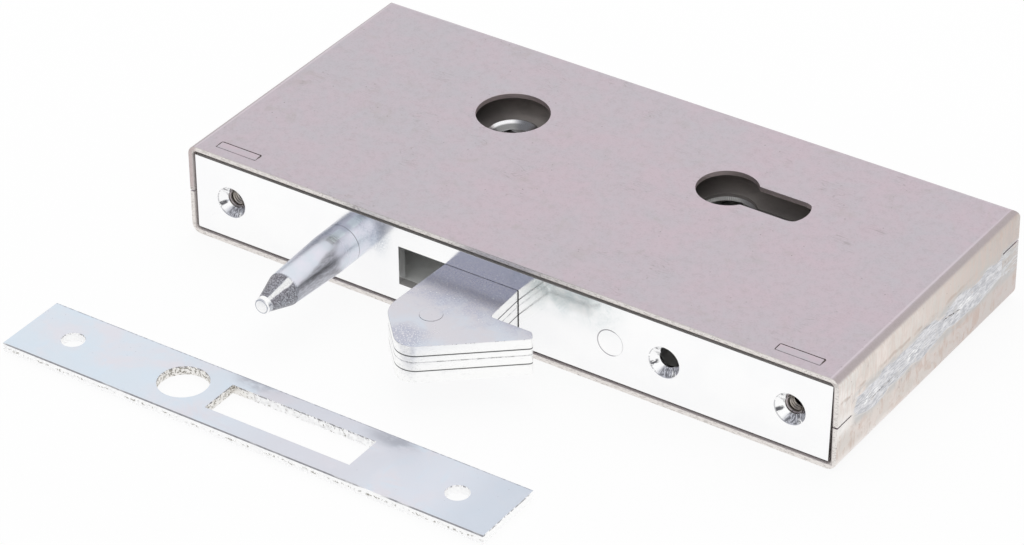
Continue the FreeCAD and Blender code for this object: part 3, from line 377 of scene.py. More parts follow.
def makeWeldMetal():
    look = weldLook
    paint = Paint("weldMetal", {"Metallic": 0.95})
    depth = paint.x.size()
    ripple = paint.cloud(2.6, 4, 0.6, paint.stretched((1, 0.22, 1)), 0.4)
    streaks = paint.cloud(0.45, 4, 0.7, paint.stretched((1, 0.16, 1)), 0.2)
    silver = paint.mix((ripple * 0.35 + streaks * 0.65).fade(0.39, 0.60), look["dark"], look["light"])
    byY, byZ = look["brightReach"]
    near = 0.0
    for place in look["bright"]:
        near = (paint.y - place).size().fade(*byY) + near
    level = paint.z - look["middle"]
    glint = streaks.fade(0.50, 0.56) * near * level.size().fade(*byZ)
    silver = paint.mix(glint, silver, look["glint"])
    # painted shade along the cracks
    crackShade = 0.0
    for middle, half, height, slope in look["cracks"]:
        along = paint.y - middle
        line = paint.z - height - along * slope + (paint.cloud(2.5, 3, 0.6) - 0.5) * 1.2
        crackShade = line.size().fade(*look["crackWidth"]) * along.size().fade(half, half * 0.6) + crackShade
    border = depth.fade(*look["feathered"]).higher(paint.cloud(2.4, 5, 0.65).fade(0.56, 0.66) * 0.55)
    onEnd = paint.y.fade(*look["beforeBack"])
    colour = paint.mix(border * onEnd, silver, endColour(paint))
    # painted shade where the band lies deep below the wall, and in the cracks
    hollowShade = (depth.fade(*look["bottom"]) * onEnd).higher(crackShade.lower(1.0) * 0.9)
    colour = paint.mix(hollowShade, colour, look["crackShade"])
    # painted shade in small pits, which are also dented
    pits = paint.cells(1.2).fade(0.14, 0.06) * paint.cloud(4).fade(0.54, 0.62)
    colour = paint.mix(pits * 0.7, colour, look["crackShade"])
    roughness = 0.30 + ripple * 0.14 + hollowShade * 0.3
    height = ripple * 0.5 + streaks * 0.9 - pits - crackShade
    return paint.feed(colour=colour, roughness=roughness, normal=paint.relief(height, 0.03))


zincLook = {
    "sillShade": (0.46, 0.45, 0.44),
    "bright": (0.995, 0.995, 0.995),
    "hazed": (0.975, 0.975, 0.98),
    "edge": (0.78, 0.775, 0.78),
    "speck": (0.35, 0.34, 0.36),
    "screwHoles": (-91.75, 91.25, 52.4),
    "screwHeight": 14.1,
    "sinkRadius": 4.85,
    "sinkShade": (0.13, 0.13, 0.14),
    "sinkLine": (0.42, 0.42, 0.44),
    "hookReflection": (0.53, 0.62, 0.64),
    "pinReflection": (0.42, 0.47, 0.55),
    "rivet": (35.4, 14.1, 4.0),   # x, z and radius
    "hookReflectionPlace": (20, (23, 8), (13.5, 24.5)),   # x, reach along x, z
    "pinReflectionPlace": (-43, (8, 2), (12, 22)),
    "frontFace": (-49.0, -48.7),
    "slotFoot": ((8.8, 8.4), (38, 36)),   # z and x
    "topEdge": (25.5, 25.9),
}


def makeBrightZinc():
    look = zincLook
    paint = Paint("brightZinc", {})
    haze = paint.cloud(14, 3, 0.5)
    grain = paint.cloud(0.8, 3, 0.6, paint.stretched((0.25, 1, 1)))
    specks = paint.cells(1.8).fade(0.09, 0.04) * paint.cloud(6).fade(0.56, 0.68)
    colour = paint.mix(haze.fade(0.35, 0.65), look["bright"], look["hazed"])
    sand = paint.cloud(0.45, 3, 0.75).fade(0.36, 0.62)
    patches = paint.cloud(6.0, 4, 0.6, warp=0.4).fade(0.30, 0.66)
    # painted reflection of the hook, on the forend beside the slot
    middle, reach, above = look["hookReflectionPlace"]
    bySlot = (paint.x - middle).size().fade(*reach) * paint.z.fade(*above) * (0.25 + patches * 0.75)
    colour = paint.mix(bySlot * (0.45 + sand * 0.45), colour, look["hookReflection"])
    # painted reflection of the guide pin, on the forend beside it
    middle, reach, above = look["pinReflectionPlace"]
    byPin = (paint.x - middle).size().fade(*reach) * paint.z.fade(*above) * (0.3 + patches * 0.7)
    colour = paint.mix(byPin * (0.3 + sand * 0.65), colour, look["pinReflection"])
    rivetX, rivetZ, rivetRadius = look["rivet"]
    across = paint.x - rivetX
    away = across.diagonal(paint.z - rivetZ)
    # painted shade at the edge of the rivet's head, on its left half
    ring = (away - rivetRadius).size().fade(0.26, 0.08) * across.fade(2.6, 0.5)
    colour = paint.mix(ring * 0.8, colour, look["speck"])
    edge = paint.facing[1].fade(-0.3, -0.7)
    sink, shade, rimShade = 0.0, 0.0, 0.0
    # painted shade in the countersinks: dark crescents of radial tool marks, and a dark line round
    # their left rims
    for place in look["screwHoles"]:
        across, upward = paint.x - place, paint.z - look["screwHeight"]
        away = across.diagonal(upward)
        bearing = across.bearing(upward)
        here = away.fade(look["sinkRadius"] + 0.15, look["sinkRadius"])
        spokes = paint.node("CombineXYZ", None, {0: bearing * 5.5, 1: away * 0.8, 2: float(place)})
        dashes = paint.cloud(0.7, 3, 0.65, spokes)
        small = bearing.fade(-2.95, -2.8) * bearing.fade(-2.5, -2.62) * away.fade(2.8, 3.4)
        crescent = bearing.fade(-2.1, -1.8) * bearing.fade(-0.25, -0.6)
        marks = small * dashes.fade(0.36, 0.48) + crescent * dashes.fade(0.40, 0.56) * 0.8
        shade = here * marks + shade
        outer = (away - look["sinkRadius"] + 0.12).size().fade(0.2, 0.06)
        rimShade = outer * across.fade(0.5, -2) * dashes.fade(0.40, 0.50) + rimShade
        sink = here + sink
    colour = paint.mix((1 - edge) * 0.5 * (1 - sink), colour, look["edge"])
    colour = paint.mix(shade * paint.y.fade(*look["frontFace"]), colour, look["sinkShade"])
    colour = paint.mix(rimShade * 0.7, colour, look["sinkLine"])
    colour = paint.mix(specks * 0.5, colour, look["speck"])
    # painted shade: the upward faces in the slot and on the top edge are made a dull grey, not bright
    # zinc
    below, byX = look["slotFoot"]
    inSlot = paint.z.fade(*below) * paint.x.size().fade(*byX)
    sillShade = paint.facing[2].fade(0.6, 0.9) * inSlot.higher(paint.z.fade(*look["topEdge"]))
    colour = paint.mix(sillShade, colour, look["sillShade"])
    roughness = 0.09 + haze * 0.07 + specks * 0.3 + shade * 0.2 + sillShade * 0.4
    normal = paint.relief(grain * 0.6 - specks, 0.006)
    return paint.feed(colour=colour, roughness=roughness, metallic=1 - sillShade * 0.9, normal=normal)


pinLook = {
    "axis": (-53.2, 14.1),
    "coneStart": -76.2,
    "neck": -84.8,
    "nibRadius": 2.1,
    "pale": (0.80, 0.79, 0.87),
    "cool": (0.72, 0.77, 0.84),
    "highlight": (0.88, 0.96, 0.98),
    "dark": (0.36, 0.36, 0.40),
    "shade": (0.34, 0.36, 0.42),
    "cone": (0.15, 0.14, 0.16),
    "white": (0.98, 0.98, 0.98),
    "low": ((-0.64, -0.5), (0.60, 0.36), (-56.5, -60)),   # two bearings in radians, then y
    "climb": (-75, 0.028),   # y where the dark band starts to climb, radians per mm
    "top": ((1.50, 1.95), (-78, -57)),
    "highlightAt": (-53.6, (4, 2), (1.02, 1.15), (1.62, 1.45)),   # y, reach, bearings
    "dashesAt": (-56.2, (1.5, 0.8), (1.0, 1.1), (1.55, 1.45)),
    "coneLight": ((0.72, 0.84), (1.26, 1.12)),
    "root": (-49.2, -48.9),
    "brim": (-86.0, -86.3),
    "nibWall": ((-86.2, -85.9), (0.9, 0.4)),   # y and bearing
    "rougher": (-50, -58),
}


def makeTurnedZinc():
    look = pinLook
    paint = Paint("turnedZinc", {"Metallic": 1.0})
    across, upward = paint.x - look["axis"][0], paint.z - look["axis"][1]
    bearing = across.bearing(upward)
    away = across.diagonal(upward)
    rings = paint.cloud(0.45, 3, 0.7, paint.stretched((0.03, 1, 0.03)))
    grit = paint.cloud(0.38, 4, 0.75).fade(0.42, 0.58)
    haze = paint.cloud(5, 3, 0.5)
    colour = paint.mix(haze.fade(0.3, 0.7), look["pale"], look["cool"])
    body = paint.y.fade(look["coneStart"] - 0.4, look["coneStart"] + 0.2)
    hatch = paint.cloud(0.5, 3, 0.7, paint.stretched((1, 0.25, 1))).fade(0.38, 0.60)
    reach = bearing + (haze - 0.5) * 0.3
    foot, steepness = look["climb"]
    climbing = reach - (paint.y - foot) * steepness
    # painted reflection: a dark band along the pin's lower side, hatched with turning marks
    above, below, byY = look["low"]
    low = reach.fade(*above) * climbing.fade(*below) * paint.y.fade(*byY) * body
    colour = paint.mix(low * (0.60 + hatch * 0.36), colour, look["dark"])
    # painted reflection: a dark speckled band on the pin's upper left
    above, byY = look["top"]
    top = reach.fade(*above) * paint.y.fade(*byY) * body
    colour = paint.mix(top * (0.45 + grit * 0.55), colour, look["shade"])
    # painted highlight near the root
    place, width, above, below = look["highlightAt"]
    highlight = (paint.y - place).size().fade(*width) * bearing.fade(*above) * bearing.fade(*below)
    colour = paint.mix(highlight, colour, look["highlight"])
    # the cone is painted dark as shade, with a painted highlight band across it
    cone = (1 - body) * paint.y.fade(look["neck"] - 0.1, look["neck"] + 0.2)
    above, below = look["coneLight"]
    light = reach.fade(*above) * reach.fade(*below)
    colour = paint.mix(cone * (1 - light) * (0.50 + grit * 0.48), colour, look["cone"])
    colour = paint.mix(cone * light, colour, look["white"])
    shoulder = (paint.y - look["coneStart"]).size().fade(0.5, 0.2) * grit
    colour = paint.mix(shoulder * 0.6, colour, look["shade"])
    place, width, above, below = look["dashesAt"]
    dashes = (paint.y - place).size().fade(*width) * (rings + grit * 0.2).fade(0.50, 0.58)
    dashes = dashes * bearing.fade(*above) * bearing.fade(*below)
    colour = paint.mix(dashes * 0.45, colour, look["cone"])
    # painted shade where the pin meets the forend
    colour = paint.mix(paint.y.fade(*look["root"]), colour, look["cone"])
    # painted highlight: the nib is made white, with painted shade on the lower side of its wall
    nib = paint.y.fade(look["neck"] + 0.2, look["neck"] - 0.1)
    colour = paint.mix(nib, colour, look["white"])
    brim = (away - look["nibRadius"] + 0.12).size().fade(0.24, 0.1) * paint.y.fade(*look["brim"])
    byY, below = look["nibWall"]
    wall = paint.y.fade(*byY) * bearing.fade(*below)
    colour = paint.mix(nib * (brim * 0.65).higher(wall * (0.4 + grit * 0.5)), colour, look["shade"])
    dull = paint.y.fade(*look["rougher"]) * body
    roughness = 0.15 + rings * 0.12 + cone * grit * 0.2 + dull * 0.12
    normal = paint.relief(rings * 0.7 + grit * cone * 2, 0.02)
    return paint.feed(colour=colour, roughness=roughness, normal=normal)


hookLook = {
    "joints": ((16.85, 0.95, 0.0), (14.85, 0.55, 0.75), (12.05, 0.95, 0.0)),   # height, shade, gaps
    "jointShade": (0.10, 0.10, 0.09),
    "lilac": (0.69, 0.675, 0.72),
    "blue": (0.67, 0.71, 0.785),
    "shaded": (0.52, 0.53, 0.64),
    "wall": (0.995, 0.995, 0.99),
    "shear": (0.70, 0.71, 0.70),
    "white": (0.97, 0.97, 0.99),
    "rolled": (0.42, 0.44, 0.56),
    "rimShade": (0.24, 0.24, 0.27),
    "rolledCorner": (-7.5, -84.5, (8.5, 4)),   # x, y and reach
    "shadedFrom": -71.0,
    "shadedTo": -59.0,
    "top": (20.05, (-0.32, -0.05)),   # height, and the rim below it, where shade is painted
}


def makeHookZinc():
    look = hookLook
    paint = Paint("hookZinc", {"Metallic": 1.0})
    up = paint.facing[2]
    haze = paint.cloud(9, 4, 0.6, warp=0.3)
    grit = paint.cloud(0.75, 4, 0.7)
    colour = paint.mix(haze.fade(0.40, 0.72), look["lilac"], look["blue"])
    wall = 1 - up.size().fade(0.35, 0.75)
    reach = paint.y + (paint.cloud(6, 5, 0.6, warp=0.8) - 0.5) * 26
    dim = reach.fade(look["shadedFrom"], look["shadedTo"])
    sand = paint.cloud(0.42, 3, 0.75).fade(0.38, 0.60)
    colour = paint.mix(dim * (0.14 + sand * 0.86), colour, look["shaded"])
    cornerX, cornerY, corner = look["rolledCorner"]
    away = (paint.x - cornerX).diagonal(paint.y - cornerY)
    rolled = (away + (paint.cloud(4) - 0.5) * 6).fade(*corner)
    grains = paint.cells(0.52)
    colour = paint.mix(rolled * grains.fade(0.25, 0.55) * 0.6, colour, look["rolled"])
    colour = paint.mix(rolled * grains.fade(0.26, 0.12), colour, look["white"])
    specks = paint.cells(1.1).fade(0.20, 0.10) * paint.cloud(4).fade(0.46, 0.56)
    specks = specks * (0.15 + dim).lower(1.0)
    colour = paint.mix(specks, colour, look["white"])
    nick = paint.cells(0.8).fade(0.35, 0.2)
    top, below = look["top"]
    rimShade = (paint.z - top).fade(*below) * (1 - up.fade(0.93, 0.985))
    leftward = paint.facing[0].fade(-0.1, -0.5)
    shear = paint.cloud(0.8, 4, 0.6, paint.stretched((0.25, 0.25, 1))).fade(0.58, 0.72)
    wallColour = paint.mix(shear * 0.22 + rolled * nick * 0.4, look["wall"], look["shear"])
    broken = paint.cloud(1.4, 3, 0.6).fade(0.46, 0.60)
    for joint, strength, gaps in look["joints"]:
        shade = (paint.z - joint).size().fade(0.26, 0.12) * strength * (1 - gaps * (1 - broken))
        wallColour = paint.mix(shade, wallColour, look["jointShade"])
    colour = paint.mix(wall, colour, wallColour)
    # painted shade along the top plate's edge, strongest where it faces left, broken by real nicks
    # elsewhere
    colour = paint.mix(rimShade * (0.15 + nick * 0.6).higher(leftward * 0.85), colour, look["rimShade"])
    roughness = 0.24 + haze * 0.10 + wall * shear * 0.2
    height = grit * 0.5 - wall * shear - specks * 0.6 - rolled * (1 - wall) * grains * 3
    return paint.feed(colour=colour, roughness=roughness, normal=paint.relief(height, 0.014))


strikeLook = {
    "left": (0.715, 0.785, 0.86),
    "right": (0.745, 0.775, 0.85),
    "farRight": (0.645, 0.70, 0.785),
    "rose": (0.80, 0.755, 0.80),
    "sky": (0.70, 0.79, 0.88),
    "lilac": (0.715, 0.70, 0.755),
    "smudgeAndReflection": (0.36, 0.375, 0.43),
    "pinAndHookReflections": ((-42.5, -103.6, 6.0), (3.0, -104.6, 7.0)),   # x, y and reach of each painted reflection, of the guide pin's tip and of the hook's nose
    "wall": (1.0, 1.0, 1.0),
    "torn": (0.33, 0.31, 0.26),
    "beige": (0.86, 0.83, 0.78),
    "brim": (0.26, 0.26, 0.29),
    "front": -126.2,
    "back": -102.8,
    "farRightFrom": (24, 40),
    "slotShade": (-20, (32, 10)),   # x and reach
    "slot": ((-70, -68), (1.5, 0.5), (-124, -123), (-104, -105)),   # x, x, y and y of its four sides
    "tornFrom": (-38, -45),
    "sheared": (1.2, (0.45, 0.15)),   # height on the front edge and reach
    "lip": (2.40, (-0.16, 0.0), (-104, -106)),   # height, rim below it, y
    "frontRim": (2.42, (-0.12, 0.08)),
}


def makeStrikeZinc():
    look = strikeLook
    paint = Paint("strikeZinc", {"Metallic": 0.95})
    up = paint.facing[2]
    drift = paint.x.fade(-112, 46) + (paint.cloud(26, 4, 0.55) - 0.5) * 1.2
    colour = paint.mix(drift, look["left"], look["right"])
    rose = paint.cloud(17, 4, 0.55, warp=0.4).fade(0.44, 0.70)
    colour = paint.mix(rose * 0.65, colour, look["rose"])
    sky = paint.cloud(10, 5, 0.6, warp=0.7).fade(0.48, 0.68)
    colour = paint.mix(sky * 0.6, colour, look["sky"])
    colour = paint.mix(paint.x.fade(*look["farRightFrom"]) * 0.8, colour, look["farRight"])
    middle, reach = look["slotShade"]
    bySlot = (paint.x - middle + (rose - 0.5) * 16).size().fade(*reach)
    colour = paint.mix(bySlot * 0.55, colour, look["lilac"])
    patchy = paint.cloud(5, 4, 0.65, paint.stretched((0.6, 1, 1))).fade(0.36, 0.62)
    # painted reflections of the guide pin's tip and the hook's nose, dark on the top
    for x, y, reach in look["pinAndHookReflections"]:
        away = ((paint.x - x) * 0.6).diagonal((paint.y - y) * 1.5)
        colour = paint.mix(away.fade(reach, 1) * patchy * 0.6, colour, look["smudgeAndReflection"])
    fleck = paint.cells(1.8).fade(0.12, 0.05) * paint.cloud(8).fade(0.54, 0.64)
    colour = paint.mix(fleck * 0.45, colour, look["smudgeAndReflection"])
    ragged = paint.cloud(1.2, 4, 0.65).fade(0.40, 0.60)
    backEdge = paint.y.fade(look["back"] - 0.6, look["back"] - 0.2) * (0.15 + ragged * 0.75)
    colour = paint.mix(backEdge, colour, look["smudgeAndReflection"])
    wall = 1 - up.size().fade(0.4, 0.8)
    onFront = paint.y.fade(look["front"] + 0.4, look["front"] + 0.1)
    leftSide, rightSide, frontSide, backSide = look["slot"]
    inSlot = paint.x.fade(*leftSide) * paint.x.fade(*rightSide)
    inSlot = inSlot * paint.y.fade(*frontSide) * paint.y.fade(*backSide)
    dense = paint.x.fade(*look["tornFrom"])
    torn = paint.cloud(0.75, 4, 0.75).fade(0.51, 0.57)
    spread = paint.cloud(1.6, 4, 0.65)
    tornHere = torn * (dense * spread.fade(0.34, 0.50) * 0.85).higher(spread.fade(0.54, 0.64) * 0.8)
    level, reach = look["sheared"]
    line = (paint.z - level + (paint.cloud(4) - 0.5) * 1.2).size().fade(*reach)
    sparse = line * paint.cloud(6, 3, 0.6).fade(0.44, 0.56)
    wallColour = paint.mix(inSlot * dense * 0.6, look["wall"], look["beige"])
    tornWall = (tornHere * inSlot).higher(torn * sparse * onFront * 0.85)
    wallColour = paint.mix(tornWall, wallColour, look["torn"])
    dotted = paint.cloud(1.0, 3, 0.6).fade(0.46, 0.54)
    level, below, byY = look["lip"]
    lip = (1 - onFront) * (paint.z - level).fade(*below) * dotted * paint.y.fade(*byY)
    wallColour = paint.mix(lip * 0.75, wallColour, look["brim"])
    level, below = look["frontRim"]
    broken = paint.cloud(5, 3, 0.6, paint.stretched((0.3, 1, 1))).fade(0.28, 0.46)
    brim = onFront * (paint.z - level).fade(*below) * broken
    wallColour = paint.mix(brim * 0.9, wallColour, look["brim"])
    colour = paint.mix(wall.higher(brim), colour, wallColour)
    roughness = 0.34 + paint.cloud(4) * 0.1 + wall * torn * 0.3
    height = paint.cloud(0.6, 3) * 0.5 - wall * torn * inSlot * 3
    return paint.feed(colour=colour, roughness=roughness, normal=paint.relief(height, 0.02))


innerSteels = {   # dark and light colour, roughness, metallic
    "bodySteel": ((0.56, 0.54, 0.53), (0.70, 0.68, 0.67), 0.34, 0.6),
    "traySteel": ((0.86, 0.87, 0.85), (0.93, 0.94, 0.92), 0.45, 0.1),
    "threadSteel": ((0.34, 0.30, 0.26), (0.56, 0.52, 0.48), 0.25, 0.9),
    "ringSteel": ((0.40, 0.40, 0.39), (0.56, 0.56, 0.55), 0.30, 1.0),
    "pinSteel": ((0.42, 0.42, 0.44), (0.56, 0.56, 0.58), 0.22, 0.6),
    "leverSteel": ((0.50, 0.50, 0.49), (0.66, 0.65, 0.63), 0.24, 0.6),
    "springSteel": ((0.30, 0.30, 0.32), (0.46, 0.46, 0.49), 0.28, 0.6),
}


def makeInnerSteel(name, dark, light, roughness, metallic):   # parts inside the case
    paint = Paint(name, {"Metallic": metallic})
    blotch = paint.cloud(6, 4, 0.6)
    marks = paint.cloud(0.7, 3, 0.6, paint.stretched((0.3, 1, 1)))
    colour = paint.mix(blotch.fade(0.35, 0.65), dark, light)
    finish = roughness + marks * 0.14
    return paint.feed(colour=colour, roughness=finish, normal=paint.relief(marks, 0.012))


collarLook = {
    "axis": (-38.6, 14.8),
    "dishHighlight": (0.97, 0.97, 0.98),
    "dishShade": (0.27, 0.27, 0.27),
    "paintedShading": (0.47, 0.47, 0.48),
    "shaded": (0.25, 0.245, 0.24),
    "dull": (0.30, 0.29, 0.28),
    "light": (0.85, 0.53),   # direction that the light comes from
    "onTop": (19.5, 19.8),
    "topReach": (7.9, 7.6),
    "lit": (3.5, -2),
    "shine": ((6.85, 7.25), (3.2, -1)),   # distance from the axis, then towards the light
    "dishRadius": 7.0,   # as it is in the solid
    "dishFoot": 5.95,
    "dishMouth": 7.68,
    "dishHeights": (19, 21),
    "dishBorder": (7.8, 7.7),
}


def makeCollarSteel():   # the follower, with painted light and shade round the handle's square
    look = collarLook
    paint = Paint("collarSteel", {"Metallic": 0.9})
    across, along = paint.x - look["axis"][0], paint.y - look["axis"][1]
    away = across.diagonal(along)
    blotch = paint.cloud(2.5, 4, 0.6)
    onTop = paint.z.fade(*look["onTop"])
    # painted light and shade: the top is lighter towards the light
    lightward = across * look["light"][0] + along * look["light"][1]
    lit = lightward.fade(*look["lit"]) + blotch.fade(0.4, 0.6) * 0.25
    paintedShading = paint.mix(lit, look["shaded"], look["paintedShading"])
    colour = paint.mix(onTop * away.fade(*look["topReach"]), look["dull"], paintedShading)
    dish = away.fade(look["dishFoot"] - 0.05, look["dishFoot"] + 0.1)
    dish = dish * away.fade(*look["dishBorder"]) * onTop
    # painted highlight on the dish's rim towards the light, painted shade on the rest of the dish
    outward, towards = look["shine"]
    shine = away.fade(*outward) * lightward.fade(*towards)
    colour = paint.mix(dish, colour, paint.mix(shine, look["dishShade"], look["dishHighlight"]))
    roughness = 0.32 + blotch * 0.12 - dish * 0.14
    return paint.feed(colour=colour, roughness=roughness, normal=paint.relief(blotch, 0.012))


coverLook = {
    "near": (0.145, 0.132, 0.127),
    "far": (0.74, 0.68, 0.65),
    "marks": (0.12, 0.11, 0.105),
    "under": (0.93, 0.93, 0.91),
    "fading": (17, 36),   # y
}


def makeCoverSteel():   # dull under the case, paler towards its back: its dark front is painted shade from the case's top
    look = coverLook
    paint = Paint("coverSteel", {"Metallic": 0.1})
    blotch = paint.cloud(5, 4, 0.6)
    # painted shade: darker towards the front
    colour = paint.mix(paint.y.fade(*look["fading"]), look["near"], look["far"])
    colour = paint.mix(blotch.fade(0.45, 0.70) * 0.25, colour, look["marks"])
    colour = paint.mix(paint.facing[2].fade(-0.6, -0.9), colour, look["under"])
    return paint.feed(colour=colour, roughness=0.55 + blotch * 0.12, normal=paint.relief(blotch, 0.02))


made = [makeRawSteel(), makeBracketSteel(), makeWeldMetal(), makeBrightZinc(), makeTurnedZinc(),
        makeHookZinc(), makeStrikeZinc(), makeCollarSteel(), makeCoverSteel()]
made += [makeInnerSteel(name, *look) for name, look in innerSteels.items()]
finishes = {material.name: material for material in made}
print("finishes made:", len(finishes))


def finished(shape, name, body, finish, crease=32):
    for face in shape.faces:
        face.smooth = True
    for edge in shape.edges:
        edge.smooth = len(edge.link_faces) == 2 and edge.calc_face_angle() < math.radians(crease)
    mesh = bpy.data.meshes.new(name)
    shape.to_mesh(mesh)
    shape.free()
    mesh.materials.append(finishes[finish])
    piece = bpy.data.objects.new(name, mesh)
    scene.collection.objects.link(piece)
    weighted = piece.modifiers.new("evenNormals", "WEIGHTED_NORMAL")
    weighted.keep_sharp = True
    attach(piece, body)
    return piece


forendLook = {
    "fromX": -40,
    "toX": 12,
    "fromZ": 7,
    "toZ": 21.5,
    "closeSide": 0.48,
    "top": 20.13,
    "leftEnd": -103.25,
    "rightEnd": 102.75,
    "leftReach": 0.7,
    "rightReach": (0.55, 1.25),   # at the lower and at the upper corner
    "height": (2.1, 26.1),
    "atEnd": 0.1,   # how near to an end a point has to lie to move with it
}


def fitForend(shape):   # slot a little nearer to the hook than the solid's, ends nearer to the case
    look = forendLook
    low, high = look["height"]
    for vert in shape.verts:
        x, z = vert.co.x / mm, vert.co.z / mm
        if look["fromX"] < x < look["toX"] and look["fromZ"] < z < look["toZ"]:
            vert.co.x -= look["closeSide"] * mm * (x > 0)
            if z > look["top"]:
                vert.co.z = look["top"] * mm
        if x < look["leftEnd"] + look["atEnd"]:
            vert.co.x -= look["leftReach"] * mm
        if x > look["rightEnd"] - look["atEnd"]:
            foot, head = look["rightReach"]
            vert.co.x += (foot + (head - foot) * (z - low) / (high - low)) * mm


def dishCollar(shape):   # the wall of the collar's recess leans outwards and catches the light
    look = collarLook
    centre = Vector((*look["axis"], 0)) * mm
    foot, mouth = look["dishHeights"]
    for vert in shape.verts:
        spoke = vert.co - centre
        spoke.z = 0
        if abs(spoke.length / mm - look["dishRadius"]) < 0.05 and vert.co.z > foot * mm:
            wanted = look["dishMouth"] if vert.co.z > mouth * mm else look["dishFoot"]
            vert.co += spoke.normalized() * wanted * mm - spoke


profileLook = {
    "corners": ((56.89, 8.9), (56.89, 19.7)),
    "round": 2.1,
    "steps": 6,
    "merge": 0.12,
}


def nearCorner(place, reach):
    x, y = place.x / mm, place.y / mm
    return any(math.hypot(x - left, y - front) < reach for left, front in profileLook["corners"])


def roundProfile(shape):   # corners at the end of the profile's leg
    look = profileLook
    chosen = []
    for edge in shape.edges:
        first, second = (vert.co for vert in edge.verts)
        if (first.xy - second.xy).length < 0.01 * mm and nearCorner(first, 0.15):
            chosen.append(edge)
    bmesh.ops.bevel(shape, geom=chosen, affect="EDGES", offset=look["round"] * mm,
                    segments=look["steps"], profile=0.5, material=-1, clamp_overlap=False)
    near = [vert for vert in shape.verts if nearCorner(vert.co, look["round"] + 1)]
    bmesh.ops.remove_doubles(shape, verts=near, dist=look["merge"] * mm)


reshaping = {
    "forend": fitForend,
    "follower": dishCollar,
    "upper_shell": roundProfile,
    "lower_shell": roundProfile,
}
edgeLook = {
    "merge": 0.002,   # mm
    "flat": 0.4,   # degrees between faces that count as one
    "sharp": 35,   # degrees from which an edge is broken
    "segments": 2,
}


def dressed(node, body, finish, edgeWidth):
    look = edgeLook
    shape = bmesh.new()
    shape.from_mesh(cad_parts[node].data)
    bmesh.ops.remove_doubles(shape, verts=shape.verts, dist=look["merge"] * mm)
    bmesh.ops.dissolve_limit(shape, angle_limit=math.radians(look["flat"]),
                             verts=shape.verts, edges=shape.edges)
    if node in reshaping:
        reshaping[node](shape)
    if edgeWidth:
        corner = math.radians(look["sharp"])
        sharp = [e for e in shape.edges if len(e.link_faces) == 2 and e.calc_face_angle() > corner]
        bmesh.ops.bevel(shape, geom=sharp, affect="EDGES", offset=edgeWidth * mm,
                        segments=look["segments"], profile=0.5, material=-1, clamp_overlap=True)
    piece = finished(shape, node + ".dressed", body, finish)
    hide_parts(node)


dressing = [   # nodes, body, slot, finish, width of the broken edge in mm
    (("upper_shell", "lower_shell"), "case", "raw_steel", "rawSteel", 0.16),
    (("left_bracket", "right_bracket"), "case", "raw_steel", "bracketSteel", 0.22),
    (("back_seam_weld",), "case", "weld_metal", "weldMetal", 0),
    (("forend",), "case", "bright_zinc", "brightZinc", 0.18),
    (("forend_rivet",), "case", "bright_zinc", "brightZinc", 0.12),
    (("guide_pin",), "case", "turned_zinc", "turnedZinc", 0.2),
    (("guide_pin_block", "rivet_block"), "case", "body_steel", "bodySteel", 0.15),
    (("lock_tray",), "case", "body_steel", "traySteel", 0.15),
    (("lock_cover",), "case", "body_steel", "coverSteel", 0.15),
    (("cover_posts", "cover_screws"), "case", "pin_steel", "pinSteel", 0.1),
    (("hook_plate_top", "hook_plate_bottom"), "hook", "hook_zinc", "hookZinc", 0.22),
    (("hook_plate_low", "hook_plate_high"), "hook", "hook_zinc", "hookZinc", 0.10),
    (("hook_rivets",), "hook", "hook_zinc", "hookZinc", 0.06),
    (("hook_pivot_pin", "spring_post"), "case", "pin_steel", "pinSteel", 0.1),
    (("slide_guide_pins", "tumbler_pin"), "case", "pin_steel", "pinSteel", 0.1),
    (("follower",), "follower", "lever_steel", "collarSteel", 0.12),
    (("locking_slide", "slide_stump"), "slide", "lever_steel", "leverSteel", 0.12),
    (("drive_pin",), "slide", "pin_steel", "pinSteel", 0.1),
    (("tumbler_lever",), "tumbler", "lever_steel", "leverSteel", 0.12),
    (("hook_spring", "tumbler_spring"), "case", "spring_steel", "springSteel", 0),
    (("strike_plate",), "strike", "strike_zinc", "strikeZinc", 0.14),
]
for names, body, slot, finish, width in dressing:
    for node in names:
        dressed(node, body, finish, width)
print("nodes dressed:", sum(len(row[0]) for row in dressing))

bandLook = {
    "cuts": (360, 64),
    "middle": 14.65,
    "reach": 4.7,
    "wall": 106.0,
    "proud": 0.24,
    "sunk": 0.05,
    "inside": 105.3,
    "pastFront": 0.2,
    "toBack": 40.4,
    "feather": (2.6, 9.0, 1.8),   # steepness of the border, its length in front and behind
    "cracks": (   # y, half length, z, slope
        (-26, 8.5, 13.4, 0.0), (11, 6.5, 15.3, -0.2), (36, 3.5, 14.6, 0.1)),
    "crackWidth": 0.16,
    "crackDepth": 0.42,
    "crackWander": 0.45,
}


def wobble(x, y, z):   # smooth noise from -1 to 1
    return noise.noise(Vector((x, y, z)))


def crackDepth(look, y, z, seed):
    depth = 0
    for middle, half, height, slope in look["cracks"]:
        along = max(0.0, 1 - ((y - middle) / half) ** 2)
        line = height + slope * (y - middle) + wobble(y * 0.7, 1.7, seed) * look["crackWander"]
        ragged = 0.6 + 0.8 * wobble(y * 0.9, 5.1, seed)
        depth += math.exp(-(((z - line) / look["crackWidth"]) ** 2)) * along * max(0.0, ragged)
    return depth * look["crackDepth"]


